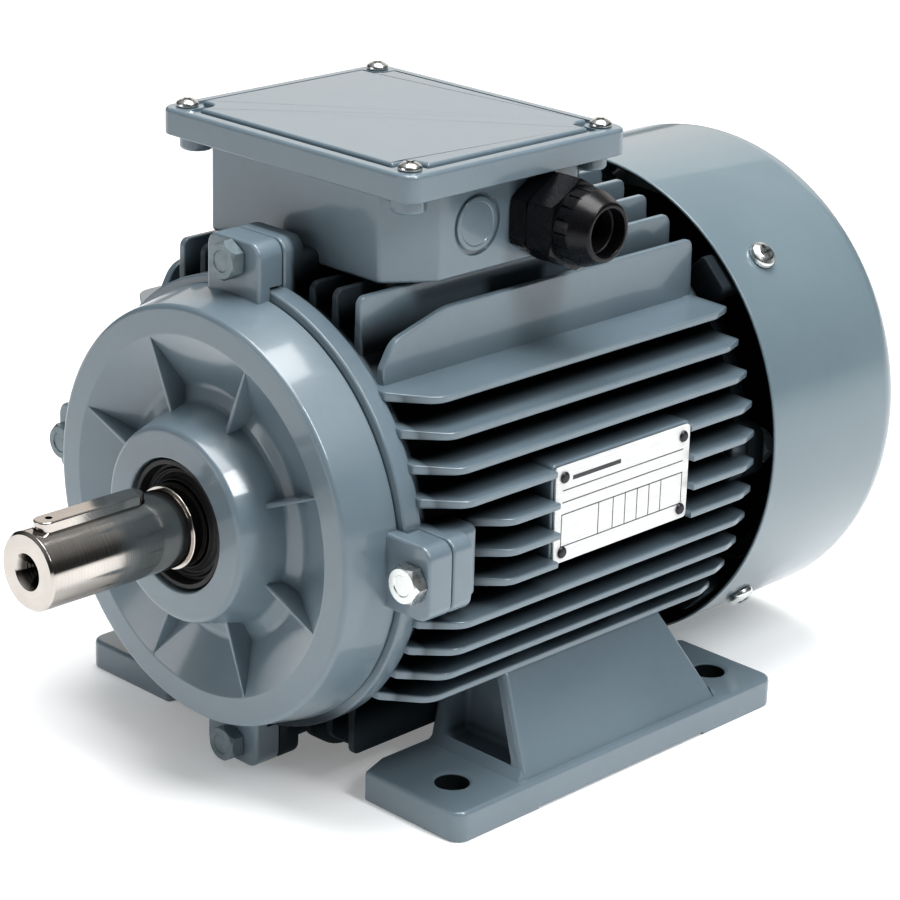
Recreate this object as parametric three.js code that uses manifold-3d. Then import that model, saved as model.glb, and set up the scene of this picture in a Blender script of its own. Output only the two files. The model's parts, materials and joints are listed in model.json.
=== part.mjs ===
// Foot-mounted, fan-cooled squirrel-cage electric motor, metric frame size 100L.
// Everything is modelled in motor coordinates and moved once at the end:
// x = 0 and z = 0 on the shaft axis, y = 0 at the shaft shoulder, +Y towards the fan,
// +Z up, +X on the side of the cable gland. Millimetres.

import * as THREE from 'three';
import { mergeVertices } from 'three/addons/utils/BufferGeometryUtils.js';
import Module from 'manifold-3d';

const wasm = await Module();
wasm.setup();

// ---------------------------------------------------------------- driving dimensions
const GAP = 0.3;                    // clearance kept between touching pieces
const TURN = Math.PI * 2;

const AXIS_HEIGHT = 100;            // shaft axis above the underside of the feet
const SHAFT_R = 14;                 // drive end, 28 mm
const SHAFT_LENGTH = 60;            // drive end, tip to shoulder
const FOOT_HOLE_X = 80;             // half of the 160 mm spacing across
const FOOT_HOLE_Y = [63, 203];      // 63 mm from the shoulder, then 140 mm
const FOOT_HOLE_R = 6;
const FOOT_EDGE_X = 101;            // overall width 202 mm
const COVER_END = 294;              // rear face of the fan cover

const ROUND = 36;                   // facets of the large round pieces
const HOUSING_R = 80;
const HOUSING_BORE_R = 75;
const HOUSING_FRONT = 35.3;
const HOUSING_REAR = 208;
const FIN_TIP_R = 96;
const FIN_PITCH = 11;
const FIN_HALF = 1.3;

const LUG_R = 91;                   // bolt circle of the end shields
const LUG_REACH = 98.5;
const LUG_HALF = 13.5;
const BOLT_R = 3.9;
const BOLT_HEAD_R = 7.2;

const BEARING_BORE_R = 15;          // 30 x 62 x 16 ball bearing
const BEARING_OUTER_R = 31;
const BEARING_WIDTH = 16;
const BALL_PITCH_R = 23;
const BALL_R = 4.7625;
const BALL_COUNT = 9;
const FRONT_BEARING = 14.3;
const REAR_BEARING = 206.4;

const CORE = [70, 172];             // laminated stack, front and rear face
const CORE_BORE_R = 47.5;
const ROTOR_R = 47;
const SLOTS = 12;
const BARS = 10;

const COVER_R = 97.1;
const COVER_FRONT = 213;
const COVER_WALL = 1.5;
const COVER_SCREW_Y = 233;
const REAR_LUG_END = 241;

const BOX_X = 55;                   // terminal box, half width
const BOX_Y = [58, 152];
const BOX_FLOOR = 86.4;
const BOX_RIM = 124;
const LID_X = 64;
const LID_Y = [51, 160];
const LID_UNDER = 119.5;
const LID_TOP = 130;
const LID_SCREW_X = 56.7;
const LID_SCREW_Y = [58.4, 152.2];
const GLAND_Y = 123;
const GLAND_Z = 102.5;
const GLAND_BORE_R = 8;
const KNOCK_OUT = [93, 104];        // centre of the blank cable entry, y and z

const PLATE_Y = [97, 168];
const PLATE_Z = [-12, 24];
const PLATE_X = 92;

// ---------------------------------------------------------------- materials
function surface(color, roughness, metalness) {
  return () => new THREE.MeshStandardMaterial({ color, roughness, metalness });
}

const paint = surface(0x76868d, 0.42, 0.1);
const coverPaint = surface(0x7f8f95, 0.38, 0.1);
const steel = surface(0xb8b4ac, 0.28, 1);
const zinc = surface(0xb9bcb8, 0.35, 1);
const lamination = surface(0x55585c, 0.6, 0.8);
const copper = surface(0x9c5a34, 0.45, 0.8);
const castAluminium = surface(0xaab0b4, 0.5, 0.9);
const rubber = surface(0x18191b, 0.7, 0);
const nylon = surface(0x1b1c20, 0.4, 0);
const moulding = surface(0x3a2c24, 0.6, 0);
const labelMetal = surface(0xdcdcd8, 0.35, 0.6);

// ---------------------------------------------------------------- solid tools

// Turns a closed three.js geometry into a manifold solid.
function solid(geometry) {
  const bare = geometry.clone();
  bare.deleteAttribute('normal');
  bare.deleteAttribute('uv');
  const merged = mergeVertices(bare, 1e-4);
  const index = merged.index.array;
  const kept = [];
  for (let i = 0; i < index.length; i += 3) {
    const [a, b, c] = [index[i], index[i + 1], index[i + 2]];
    if (a !== b && b !== c && c !== a) {
      kept.push(a, b, c);
    }
  }
  const vertProperties = new Float32Array(merged.attributes.position.array);
  const triVerts = new Uint32Array(kept);
  return new wasm.Manifold(new wasm.Mesh({ numProp: 3, vertProperties, triVerts }));
}

function join(...solids) {
  return solids.flat().reduce((sum, next) => sum.add(next));
}

function cut(body, ...tools) {
  return tools.flat().reduce((rest, tool) => rest.subtract(tool), body);
}

function toGeometry(body) {
  const { vertProperties, triVerts } = body.getMesh();
  const geometry = new THREE.BufferGeometry();
  geometry.setAttribute('position', new THREE.BufferAttribute(vertProperties, 3));
  geometry.setIndex(new THREE.BufferAttribute(triVerts, 1));
  geometry.computeVertexNormals();
  return geometry;
}

// A turned piece about the Y axis: profile is a list of [radius, y].
function turned(profile, segments = 32) {
  const points = profile.map(([r, y]) => new THREE.Vector2(r, y));
  const closed = points[0].distanceTo(points[points.length - 1]) < 1e-9;
  const onAxis = points[0].x === 0 && points[points.length - 1].x === 0;
  if (!closed && !onAxis) {
    points.push(points[0].clone());
  }
  if (THREE.ShapeUtils.area(points) < 0) {
    points.reverse();
  }
  return solid(new THREE.LatheGeometry(points, segments).rotateY(TURN / segments / 2));
}

// Straight prisms: the outline is a list of pairs, or a THREE.Shape.
function outlineShape(outline) {
  if (outline instanceof THREE.Shape) {
    return outline;
  }
  return new THREE.Shape(outline.map(([a, b]) => new THREE.Vector2(a, b)));
}

function extruded(outline, depth, curveSegments = 6) {
  return new THREE.ExtrudeGeometry(outlineShape(outline), { depth, bevelEnabled: false, curveSegments });
}

// Outline in (x, y), from z0 to z1.
function prismZ(outline, z0, z1, curveSegments) {
  return solid(extruded(outline, z1 - z0, curveSegments).translate(0, 0, z0));
}

// Outline in (x, z), from y0 to y1.
function prismY(outline, y0, y1, curveSegments) {
  return solid(extruded(outline, y1 - y0, curveSegments).rotateX(Math.PI / 2).translate(0, y1, 0));
}

// Outline in (y, z), from x0 to x1.
function prismX(outline, x0, x1, curveSegments) {
  const basis = new THREE.Matrix4().makeBasis(
    new THREE.Vector3(0, 1, 0), new THREE.Vector3(0, 0, 1), new THREE.Vector3(1, 0, 0));
  return solid(extruded(outline, x1 - x0, curveSegments).applyMatrix4(basis).translate(x0, 0, 0));
}

function block([x0, x1], [y0, y1], [z0, z1]) {
  const geometry = new THREE.BoxGeometry(x1 - x0, y1 - y0, z1 - z0);
  return solid(geometry.translate((x0 + x1) / 2, (y0 + y1) / 2, (z0 + z1) / 2));
}

// A turned piece whose axis runs along X, Y or Z through the point (a, b) of the other two axes.
function turnedX(profile, y, z, segments) {
  return turned(profile, segments).rotate([0, 0, -90]).translate([0, y, z]);
}

function turnedY(profile, x, z, segments) {
  return turned(profile, segments).translate([x, 0, z]);
}

function turnedZ(profile, x, y, segments) {
  return turned(profile, segments).rotate([90, 0, 0]).translate([x, y, 0]);
}

function pin(radius, from, to) {
  return [[0, from], [radius, from], [radius, to], [0, to]];
}

function ring(inner, outer, from, to) {
  return [[inner, from], [outer, from], [outer, to], [inner, to]];
}

function ngon(count, radius, cx = 0, cy = 0, turn = 0) {
  const angles = Array.from({ length: count }, (_, i) => turn + (i * TURN) / count);
  return angles.map((a) => [cx + radius * Math.cos(a), cy + radius * Math.sin(a)]);
}

function chamferedRect([x0, x1], [y0, y1], c) {
  return [
    [x0 + c, y0], [x1 - c, y0], [x1, y0 + c], [x1, y1 - c],
    [x1 - c, y1], [x0 + c, y1], [x0, y1 - c], [x0, y0 + c],
  ];
}

// Copies of a solid turned about the Y axis: 0 degrees points to +X, 90 degrees to +Z.
function around(body, degrees) {
  return degrees.map((angle) => body.rotate([0, -angle, 0]));
}

const QUARTERS = [0, 90, 180, 270];
const DIAGONALS = [45, 135, 225, 315];
const MIRROR = [1, -1];

// ---------------------------------------------------------------- the assembly
const motor = new THREE.Group();

function part(name, body, material) {
  const mesh = new THREE.Mesh(toGeometry(body), material);
  mesh.name = name;
  motor.add(mesh);
  return mesh;
}

// ---------------------------------------------------------------- frame housing
const REAR_BOLT_R = 82;
const REAR_LUG = { reach: 88, half: 10 };
const FOOT_BOLT_X = 67;
const FOOT_BOLT_Y = [108, 158];
const FOOT_TOP = 56.7;              // top of the foot, below the shaft axis
const BOX_SCREW_X = 33;
const BOX_SCREW_Y = 105;
const RIVET_Y = [PLATE_Y[0] + 4, PLATE_Y[1] - 4];
const RIVET_Z = [PLATE_Z[0] + 4, PLATE_Z[1] - 4];
const SIDE_FINS = [42, 206];        // front and rear end of the fins on the sides
const TOP_FINS = [46, 205];
const BEHIND_LUG = 62;
const HIGH_FIN_CORNER = [[12, 0], [0, 8]];
const OUTER_FIN_CORNER = [[30, 0], [14, 2.5], [4, 8], [0, 15]];
const NECK = { x: 40, y: [68, 142], top: 85 };
const SEAT_Y = [PLATE_Y[0] - 1, PLATE_Y[1] + 1];
const SEAT_Z = [PLATE_Z[0] - 1, PLATE_Z[1] + 1];

// Plan outline of a side fin from root to tip: the ends are swept in.
function sideFin(z, front, rear, sweptFront = true, sweptRear = true) {
  const root = Math.sqrt(HOUSING_BORE_R ** 2 - z ** 2) + 3;
  const tip = Math.sqrt(FIN_TIP_R ** 2 - z ** 2);
  const frontRun = 10;
  const rearRun = 8;
  const shoulder = root + (tip - root) * 0.4;
  const outline = [
    [root, front], ...(sweptFront ? [[shoulder, front], [tip, front + frontRun]] : [[tip, front]]),
    ...(sweptRear ? [[tip, rear - rearRun], [tip - 3, rear]] : [[tip, rear]]), [root, rear],
  ];
  return prismZ(outline, z - FIN_HALF, z + FIN_HALF);
}

// Side outline of a fin on the top or bottom, with its crest at the given height.
// The front corner is cut back by the pairs of [length, drop].
function uprightFin(x, front, rear, crest, corner = []) {
  const root = Math.sqrt(HOUSING_BORE_R ** 2 - x ** 2) + 3;
  const nose = corner.map(([length, drop]) => [front + length, crest - drop]);
  const outline = [[front, root], [rear, root], [rear, crest], ...(nose.length ? nose : [[front, crest]])];
  return prismX(outline, x - FIN_HALF, x + FIN_HALF);
}

function sideFins() {
  const fins = [];
  for (let k = -5; k <= 5; k += 1) {
    const z = k * FIN_PITCH;
    const front = Math.abs(z) <= LUG_HALF ? BEHIND_LUG : SIDE_FINS[0];
    const whole = sideFin(z, front, SIDE_FINS[1]);
    fins.push(whole.mirror([1, 0, 0]));
    if (z > SEAT_Z[0] && z < SEAT_Z[1]) {
      fins.push(sideFin(z, front, SEAT_Y[0], true, false), sideFin(z, SEAT_Y[1], SIDE_FINS[1], true, true));
    } else {
      fins.push(whole);
    }
  }
  return fins;
}

function uprightFins() {
  const fins = [];
  for (let k = -5; k <= 5; k += 1) {
    const x = k * 11.4;
    const crest = Math.sqrt((FIN_TIP_R + 1) ** 2 - x ** 2);
    const front = Math.abs(x) <= LUG_HALF ? BEHIND_LUG : TOP_FINS[0];
    if (Math.abs(k) < 5) {
      fins.push(uprightFin(x, front, TOP_FINS[1], crest, HIGH_FIN_CORNER).mirror([0, 0, 1]));
      const [neckFront, neckRear] = Math.abs(x) < NECK.x ? NECK.y : [156, 156];
      fins.push(uprightFin(x, front, neckFront, Math.min(crest, NECK.top)));
      fins.push(uprightFin(x, neckRear, TOP_FINS[1], Math.min(crest, NECK.top)));
      fins.push(uprightFin(x, 158, TOP_FINS[1], crest, HIGH_FIN_CORNER));
    } else {
      fins.push(uprightFin(x, front, TOP_FINS[1], crest, OUTER_FIN_CORNER));
    }
  }
  return fins;
}

function lug(from, to, root, reach = LUG_REACH, half = LUG_HALF) {
  const corner = 4;
  const outline = [[root, -half], [reach - corner, -half], [reach, corner - half],
    [reach, half - corner], [reach - corner, half], [root, half]];
  return prismY(outline, from, to);
}

function housing() {
  const tube = turned(ring(HOUSING_BORE_R, HOUSING_R, HOUSING_FRONT, HOUSING_REAR), ROUND);
  const frontLugs = around(lug(41.7, 51, 77), QUARTERS);
  const rearLugs = around(lug(199, HOUSING_REAR, 77, REAR_LUG.reach, REAR_LUG.half), QUARTERS);
  const neck = block([-NECK.x, NECK.x], NECK.y, [60, NECK.top]);
  const plateSeat = block([78, PLATE_X - GAP], SEAT_Y, SEAT_Z);
  const bosses = MIRROR.flatMap((side) => FOOT_BOLT_Y.map(
    (y) => block([side * FOOT_BOLT_X - 6, side * FOOT_BOLT_X + 6], [y - 7, y + 7], [-FOOT_TOP, -40])));
  const body = join(tube, sideFins(), uprightFins(), frontLugs, rearLugs, neck, plateSeat, bosses);
  const bore = turned(pin(HOUSING_BORE_R, 20, 230), ROUND);
  const window = block([-26, 26], [80, 130], [50, 100]);
  const tools = [bore, window];
  tools.push(...around(turnedY(pin(BOLT_R + 2 * GAP, 40, 52), LUG_R, 0, 8), QUARTERS));
  tools.push(...around(turnedY(pin(BOLT_R - 0.6, 195, 210), REAR_BOLT_R, 0, 8), QUARTERS));
  for (const side of MIRROR) {
    for (const y of FOOT_BOLT_Y) {
      tools.push(turnedZ(pin(BOLT_R + 2 * GAP, -60, -47), side * FOOT_BOLT_X, y, 8));
    }
    tools.push(turnedZ(pin(2 + 2 * GAP, 78, 90), side * BOX_SCREW_X, BOX_SCREW_Y, 6));
  }
  for (const y of RIVET_Y) {
    for (const z of RIVET_Z) {
      tools.push(turnedX(pin(1.2 + 2 * GAP, PLATE_X - 5, PLATE_X + 2), y, z, 6));
    }
  }
  return cut(body, tools);
}

part('frame_housing', housing(), paint());

// ---------------------------------------------------------------- feet
const PAD_Y = [45, 217.4];
const PAD_TOP = 11.6 - AXIS_HEIGHT;
const PAD_CORNER = 5;
const PEDESTAL = {
  bottomY: [81, 187], topY: [92, 173], webY: [96, 170], outerX: [99.5, 80], innerX: 50, wall: 6.5,
};

function foot(side) {
  const padOutline = new THREE.Shape();
  padOutline.moveTo(54, PAD_Y[0]);
  padOutline.lineTo(FOOT_EDGE_X - PAD_CORNER, PAD_Y[0]);
  padOutline.absarc(FOOT_EDGE_X - PAD_CORNER, PAD_Y[0] + PAD_CORNER, PAD_CORNER, -Math.PI / 2, 0);
  padOutline.lineTo(FOOT_EDGE_X, PAD_Y[1] - PAD_CORNER);
  padOutline.absarc(FOOT_EDGE_X - PAD_CORNER, PAD_Y[1] - PAD_CORNER, PAD_CORNER, 0, Math.PI / 2);
  padOutline.lineTo(54, PAD_Y[1]);
  padOutline.lineTo(PEDESTAL.innerX, PAD_Y[1] - 12);
  padOutline.lineTo(PEDESTAL.innerX, PAD_Y[0] + 12);
  const pad = prismZ(padOutline, -AXIS_HEIGHT, PAD_TOP, 3);
  const [outerLow, outerHigh] = PEDESTAL.outerX;
  const section = [
    [PEDESTAL.innerX, PAD_TOP - 2], [outerLow, PAD_TOP - 2], [outerLow, PAD_TOP],
    [outerHigh, -FOOT_TOP - GAP], [PEDESTAL.innerX, -FOOT_TOP - GAP],
  ];
  const ends = [
    [PEDESTAL.bottomY[0], PAD_TOP - 3], [PEDESTAL.bottomY[1], PAD_TOP - 3], [PEDESTAL.bottomY[1], PAD_TOP],
    [PEDESTAL.topY[1], -40], [PEDESTAL.topY[0], -40], [PEDESTAL.bottomY[0], PAD_TOP],
  ];
  let pedestal = prismY(section, 70, 200).intersect(prismX(ends, 40, 110));
  const inner = PEDESTAL.innerX + PEDESTAL.wall;
  const recess = [
    [inner, PAD_TOP], [outerLow - PEDESTAL.wall, PAD_TOP], [outerHigh - PEDESTAL.wall, -50], [inner, -50],
  ];
  pedestal = cut(pedestal, prismY(recess, 60, PEDESTAL.webY[0]), prismY(recess, PEDESTAL.webY[1], 200));
  const housingShape = turned(pin(HOUSING_R + GAP, 30, 230), ROUND);
  let body = cut(join(pad, pedestal), housingShape);
  const relief = block([40, 110], [86, 176], [-AXIS_HEIGHT - 1, -AXIS_HEIGHT + 1.2]);
  const tools = [relief];
  for (const y of FOOT_HOLE_Y) {
    tools.push(turnedZ(pin(FOOT_HOLE_R, -AXIS_HEIGHT - 5, PAD_TOP + 5), FOOT_HOLE_X, y, 12));
  }
  for (const y of FOOT_BOLT_Y) {
    tools.push(turnedZ(pin(9.5, -AXIS_HEIGHT - 5, -66), FOOT_BOLT_X, y, 8));
    tools.push(turnedZ(pin(BOLT_R + 2 * GAP, -70, -40), FOOT_BOLT_X, y, 8));
  }
  body = cut(body, tools);
  return side > 0 ? body : body.mirror([1, 0, 0]);
}

part('foot_right', foot(1), paint());
part('foot_left', foot(-1), paint());

// Hexagon-head bolt along Y: the head sits in front of y = seat, the shank reaches y = end.
function hexBolt(seat, end, radius = BOLT_R) {
  const head = prismY(ngon(6, BOLT_HEAD_R), seat - 5.3, seat);
  const shank = prismY(ngon(6, radius), seat - 1, end);
  return join(head, shank);
}

let footBoltNumber = 1;
for (const side of MIRROR) {
  for (const y of FOOT_BOLT_Y) {
    const upright = hexBolt(-66 - GAP, -49).rotate([90, 0, 0]).translate([side * FOOT_BOLT_X, y, 0]);
    part(`foot_bolt_${footBoltNumber}`, upright, zinc());
    footBoltNumber += 1;
  }
}

// ---------------------------------------------------------------- drive end shield
const SEAL_BORE_R = 24;
const FACE_Y = 13.7;                // flat rim round the dished face
const LUG_FACE = 30.2;              // seat of the bolt heads

function driveShield() {
  const spigot = HOUSING_BORE_R - 2 * GAP;
  const profile = [
    [SEAL_BORE_R, 3], [34.5, 3], [36.5, 5.5], [40.5, 21], [45.5, 23.6], [64, FACE_Y], [75.5, FACE_Y],
    [79, 35], [spigot, 35], [spigot, 39], [68, 24], [50, 31], [38, 32.5],
    [BEARING_OUTER_R + 2 * GAP, 32.5],
    [BEARING_OUTER_R + 2 * GAP, FRONT_BEARING - GAP], [18, FRONT_BEARING - GAP], [18, 12],
    [SEAL_BORE_R, 12],
  ];
  const shell = turned(profile);
  const rib = prismZ([[37, FACE_Y + 1], [64, FACE_Y + 0.2], [64, 16], [50, 25], [37, 27]], -1.7, 1.7);
  const ribs = around(rib, [22.5, 67.5, 112.5, 157.5, 202.5, 247.5, 292.5, 337.5]);
  const lugFront = lug(LUG_FACE, 35, 74);
  const lugBack = lug(34, 41.4, HOUSING_R + 2 * GAP);
  const lugs = around(join(lugFront, lugBack), QUARTERS);
  const holes = around(turnedY(pin(BOLT_R + 2 * GAP, 20, 50), LUG_R, 0, 8), QUARTERS);
  return cut(join(shell, ribs, lugs), holes);
}

part('drive_end_shield', driveShield(), paint());
QUARTERS.forEach((angle, i) => {
  const bolt = hexBolt(LUG_FACE - GAP, 50.5).translate([LUG_R, 0, 0]).rotate([0, -angle, 0]);
  part(`drive_end_bolt_${i + 1}`, bolt, zinc());
});

const sealProfile = [
  [BEARING_BORE_R + 2 * GAP, 5.5], [18, 8.4], [21.2, 8.4], [21.2, 4.6],
  [SEAL_BORE_R - 2 * GAP, 4.6], [SEAL_BORE_R - 2 * GAP, 11.6], [BEARING_BORE_R + 2 * GAP, 11.6],
];
part('drive_end_seal', turned(sealProfile, 20), rubber());

// ---------------------------------------------------------------- rear end shield
function rearShield() {
  const spigot = HOUSING_BORE_R - 2 * GAP;
  const profile = [
    [20, 226], [BEARING_OUTER_R + 2 * GAP, 226], [BEARING_OUTER_R + 2 * GAP, 203], [38, 203],
    [40, 214], [70, 214],
    [spigot, 204], [spigot, HOUSING_REAR + GAP], [HOUSING_R, HOUSING_REAR + GAP], [HOUSING_R, 218],
    [40, 221], [38, 230], [20, 230],
  ];
  const shell = turned(profile);
  const boltLugs = around(
    lug(HOUSING_REAR + GAP, 218, 76, REAR_LUG.reach, REAR_LUG.half), QUARTERS);
  const arm = prismY([[76, -8], [94, -8], [94, 8], [76, 8]], HOUSING_REAR + GAP, 217);
  const post = block([85, 94], [216, REAR_LUG_END], [-8, 8]);
  const coverLugs = around(join(arm, post), DIAGONALS);
  const holes = around(turnedY(pin(BOLT_R, 200, 230), REAR_BOLT_R, 0, 8), QUARTERS);
  const screwHoles = around(turnedX(pin(2 + 2 * GAP, 84, 100), COVER_SCREW_Y, 0, 6), DIAGONALS);
  return cut(join(shell, boltLugs, coverLugs), holes, screwHoles);
}

part('rear_end_shield', rearShield(), paint());
QUARTERS.forEach((angle, i) => {
  const bolt = hexBolt(0, 15, BOLT_R - 1.2).rotate([0, 0, 180]).translate([REAR_BOLT_R, 218 + 2 * GAP, 0]);
  part(`rear_end_bolt_${i + 1}`, bolt.rotate([0, -angle, 0]), zinc());
});

// ---------------------------------------------------------------- stator
function slotOutline(angle, innerR, outerR, innerHalf, outerHalf) {
  const [c, s] = [Math.cos(angle), Math.sin(angle)];
  const corners = [[innerR, -innerHalf], [outerR, -outerHalf], [outerR, outerHalf], [innerR, innerHalf]];
  return corners.map(([r, w]) => new THREE.Vector2(r * c - w * s, r * s + w * c));
}

function slotted(outerR, innerR, segments, count, slot) {
  const shape = new THREE.Shape(ngon(segments, outerR).map(([a, b]) => new THREE.Vector2(a, b)));
  shape.holes.push(new THREE.Path(ngon(segments, innerR).map(([a, b]) => new THREE.Vector2(a, b))));
  for (let i = 0; i < count; i += 1) {
    shape.holes.push(new THREE.Path(slot((i * TURN) / count)));
  }
  return shape;
}

const statorShape = slotted(HOUSING_BORE_R - 2 * GAP, CORE_BORE_R, 36, SLOTS,
  (angle) => slotOutline(angle, 50, 64, 3.2, 5));
part('stator_core', prismY(statorShape, CORE[0], CORE[1]), lamination());

function winding() {
  const head = (from, to) => turned([[54, from], [66, from], [70, to], [50.5, to]], 20);
  const bars = Array.from({ length: SLOTS }, (_, i) => {
    const outline = slotOutline((i * TURN) / SLOTS, 50.5, 63.5, 2.7, 4.5);
    return prismY(new THREE.Shape(outline), CORE[0] - 3, CORE[1] + 3);
  });
  const rear = head(0, 25).rotate([180, 0, 0]).translate([0, CORE[1] + 26, 0]);
  return join(head(CORE[0] - 26, CORE[0] - 1), rear, bars);
}

part('stator_winding', winding(), copper());

// ---------------------------------------------------------------- rotor
const KEY_Y = [-56, -11];
const KEY_HALF = 4;
const KEY_Z = [10, 17];
const FAN_SEAT_R = 12;
const FAN_Y = [236, 262];

function keyOutline(grow) {
  const half = KEY_HALF + grow;
  const shape = new THREE.Shape();
  shape.absarc(0, KEY_Y[1] - KEY_HALF, half, 0, Math.PI);
  shape.absarc(0, KEY_Y[0] + KEY_HALF, half, Math.PI, TURN);
  return shape;
}

function shaft() {
  const tip = -SHAFT_LENGTH;
  const profile = [
    [0, tip], [SHAFT_R - 1, tip], [SHAFT_R, tip + 1], [SHAFT_R, 0], [BEARING_BORE_R, 0],
    [BEARING_BORE_R, 30.6], [18, 30.6], [18, 206], [BEARING_BORE_R, 206], [BEARING_BORE_R, 224],
    [SHAFT_R, 224], [SHAFT_R, 235.5], [FAN_SEAT_R, 235.5], [FAN_SEAT_R, 262.6], [FAN_SEAT_R - 1.2, 262.6],
    [FAN_SEAT_R - 1.2, 264.6], [FAN_SEAT_R, 264.6], [FAN_SEAT_R, 267], [FAN_SEAT_R - 1, 268], [0, 268],
  ];
  const keyway = prismZ(keyOutline(GAP), KEY_Z[0] - GAP, 20, 3);
  const centre = [
    [0, tip - 1], [6, tip - 1], [6, tip + 0.5], [4.25, tip + 3], [4.25, tip + 22], [0, tip + 25],
  ];
  return cut(turned(profile, 20), keyway, turned(centre, 8));
}

part('shaft', shaft(), steel());
part('shaft_key', prismZ(keyOutline(0), KEY_Z[0], KEY_Z[1], 3), steel());

const rotorShape = slotted(ROTOR_R - GAP, 18 + 2 * GAP, 24, BARS,
  (angle) => slotOutline(angle, 38, 44.5, 1.6, 2.4));
part('rotor_core', prismY(rotorShape, CORE[0], CORE[1]), lamination());

function cage() {
  const endRing = (from, to) => turned(ring(35, 46, from, to), 20);
  const bars = Array.from({ length: BARS }, (_, i) => {
    const outline = slotOutline((i * TURN) / BARS, 38.4, 44.1, 1.2, 2);
    return prismY(new THREE.Shape(outline), CORE[0] - 2, CORE[1] + 2);
  });
  return join(endRing(CORE[0] - 11, CORE[0] - GAP), endRing(CORE[1] + GAP, CORE[1] + 11), bars);
}

part('rotor_cage', cage(), castAluminium());

// ---------------------------------------------------------------- bearings
const LAND = { outerR: 26.3, innerR: 19.7, outerGroove: 28.3, innerGroove: 17.7 };

function bearing(prefix, from) {
  const mid = from + BEARING_WIDTH / 2;
  const to = from + BEARING_WIDTH;
  const outer = [
    [LAND.outerR, from], [BEARING_OUTER_R, from], [BEARING_OUTER_R, to], [LAND.outerR, to],
    [LAND.outerR, mid + 4.3], [LAND.outerGroove, mid + 2.2], [LAND.outerGroove, mid - 2.2],
    [LAND.outerR, mid - 4.3],
  ];
  const inner = [
    [BEARING_BORE_R + GAP, from], [LAND.innerR, from], [LAND.innerR, mid - 4.3],
    [LAND.innerGroove, mid - 2.2], [LAND.innerGroove, mid + 2.2], [LAND.innerR, mid + 4.3],
    [LAND.innerR, to], [BEARING_BORE_R + GAP, to],
  ];
  part(`${prefix}_bearing_outer_ring`, turned(outer, 20), steel());
  part(`${prefix}_bearing_inner_ring`, turned(inner, 20), steel());
  const ball = solid(new THREE.SphereGeometry(BALL_R, 6, 4)).translate([BALL_PITCH_R, mid, 0]);
  const angles = Array.from({ length: BALL_COUNT }, (_, i) => (i * 360) / BALL_COUNT);
  const band = turned(ring(BALL_PITCH_R - 1.2, BALL_PITCH_R + 1.2, mid - 3, mid + 3), 18);
  part(`${prefix}_bearing_ball_cage`, join(band, around(ball, angles)), steel());
}

bearing('drive', FRONT_BEARING);
bearing('rear', REAR_BEARING);

function waveSpring() {
  const points = ring(25, 30.5, -0.4, 0.4).map(([r, y]) => new THREE.Vector2(r, y));
  points.push(points[0].clone());
  const geometry = new THREE.LatheGeometry(points, 24);
  const position = geometry.attributes.position;
  for (let i = 0; i < position.count; i += 1) {
    const angle = Math.atan2(position.getZ(i), position.getX(i));
    position.setY(i, position.getY(i) + 0.8 * Math.sin(3 * angle));
  }
  return solid(geometry).translate([0, REAR_BEARING + BEARING_WIDTH + 1.8, 0]);
}

part('bearing_wave_spring', waveSpring(), steel());
const vRing = [[SHAFT_R + GAP, 230.5], [19.5, 230.5], [17.2, 232.6], [19, 234.8], [SHAFT_R + GAP, 234.8]];
part('rear_v_ring_seal', turned(vRing, 20), rubber());

// ---------------------------------------------------------------- cooling fan and its cover
function fan() {
  const hub = turned(ring(FAN_SEAT_R + 2 * GAP, 20, FAN_Y[0], FAN_Y[1]), 18);
  const plate = turned(ring(18, 80, 239, 241.5), 18);
  const blade = prismZ([[19, 241], [78, 241], [78, 267], [19, 260]], -1.2, 1.2);
  return join(hub, plate, around(blade, [0, 60, 120, 180, 240, 300]));
}

part('cooling_fan', fan(), nylon());
const circlip = cut(turned(ring(11.3, 14.6, 262.9, 264.3), 12), block([0, 20], [260, 268], [-2.5, 2.5]));
part('fan_circlip', circlip, steel());

function arcSlot(innerR, outerR, from, to) {
  const shape = new THREE.Shape();
  shape.absarc(0, 0, outerR, from, to, false);
  shape.absarc(0, 0, innerR, to, from, true);
  return prismY(shape, COVER_END - 4, COVER_END + 2, 2);
}

function fanCover() {
  const arc = (r, inset) => Array.from({ length: 3 }, (_, i) => {
    const a = (i * Math.PI) / 4;
    return [COVER_R - inset - r + r * Math.cos(a), COVER_END - inset - r + r * Math.sin(a)];
  });
  const outer = [[COVER_R, COVER_FRONT], ...arc(14, 0), [0, COVER_END]];
  const inner = [
    [COVER_R - COVER_WALL, COVER_FRONT], ...arc(12.5, COVER_WALL), [0, COVER_END - COVER_WALL],
  ];
  const shell = turned([...outer, ...inner.reverse()]);
  const slots = [];
  for (const radius of [22, 44, 66]) {
    for (let i = 0; i < 4; i += 1) {
      const spoke = 5 / (radius + 5);
      slots.push(arcSlot(radius, radius + 12, (i * TURN) / 4 + spoke, ((i + 1) * TURN) / 4 - spoke));
    }
  }
  const screwHoles = around(turnedX(pin(2 + 2 * GAP, 90, 100), COVER_SCREW_Y, 0, 6), DIAGONALS);
  return cut(shell, slots, screwHoles);
}

part('fan_cover', fanCover(), coverPaint());

// Pan-head screw along Y: the head stands in front of y = 0, the shank runs to y = length.
function panScrew(headR, headHeight, shankR, length) {
  const profile = [
    [0, -headHeight], [headR * 0.62, -headHeight], [headR, -headHeight * 0.5], [headR, 0],
    [shankR, 0], [shankR, length], [0, length],
  ];
  return turned(profile, 8);
}

DIAGONALS.forEach((angle, i) => {
  const screw = panScrew(5.6, 3.4, 2, 12).rotate([0, 0, 90]).translate([COVER_R + GAP, COVER_SCREW_Y, 0]);
  part(`fan_cover_screw_${i + 1}`, screw.rotate([0, -angle, 0]), zinc());
});

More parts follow.
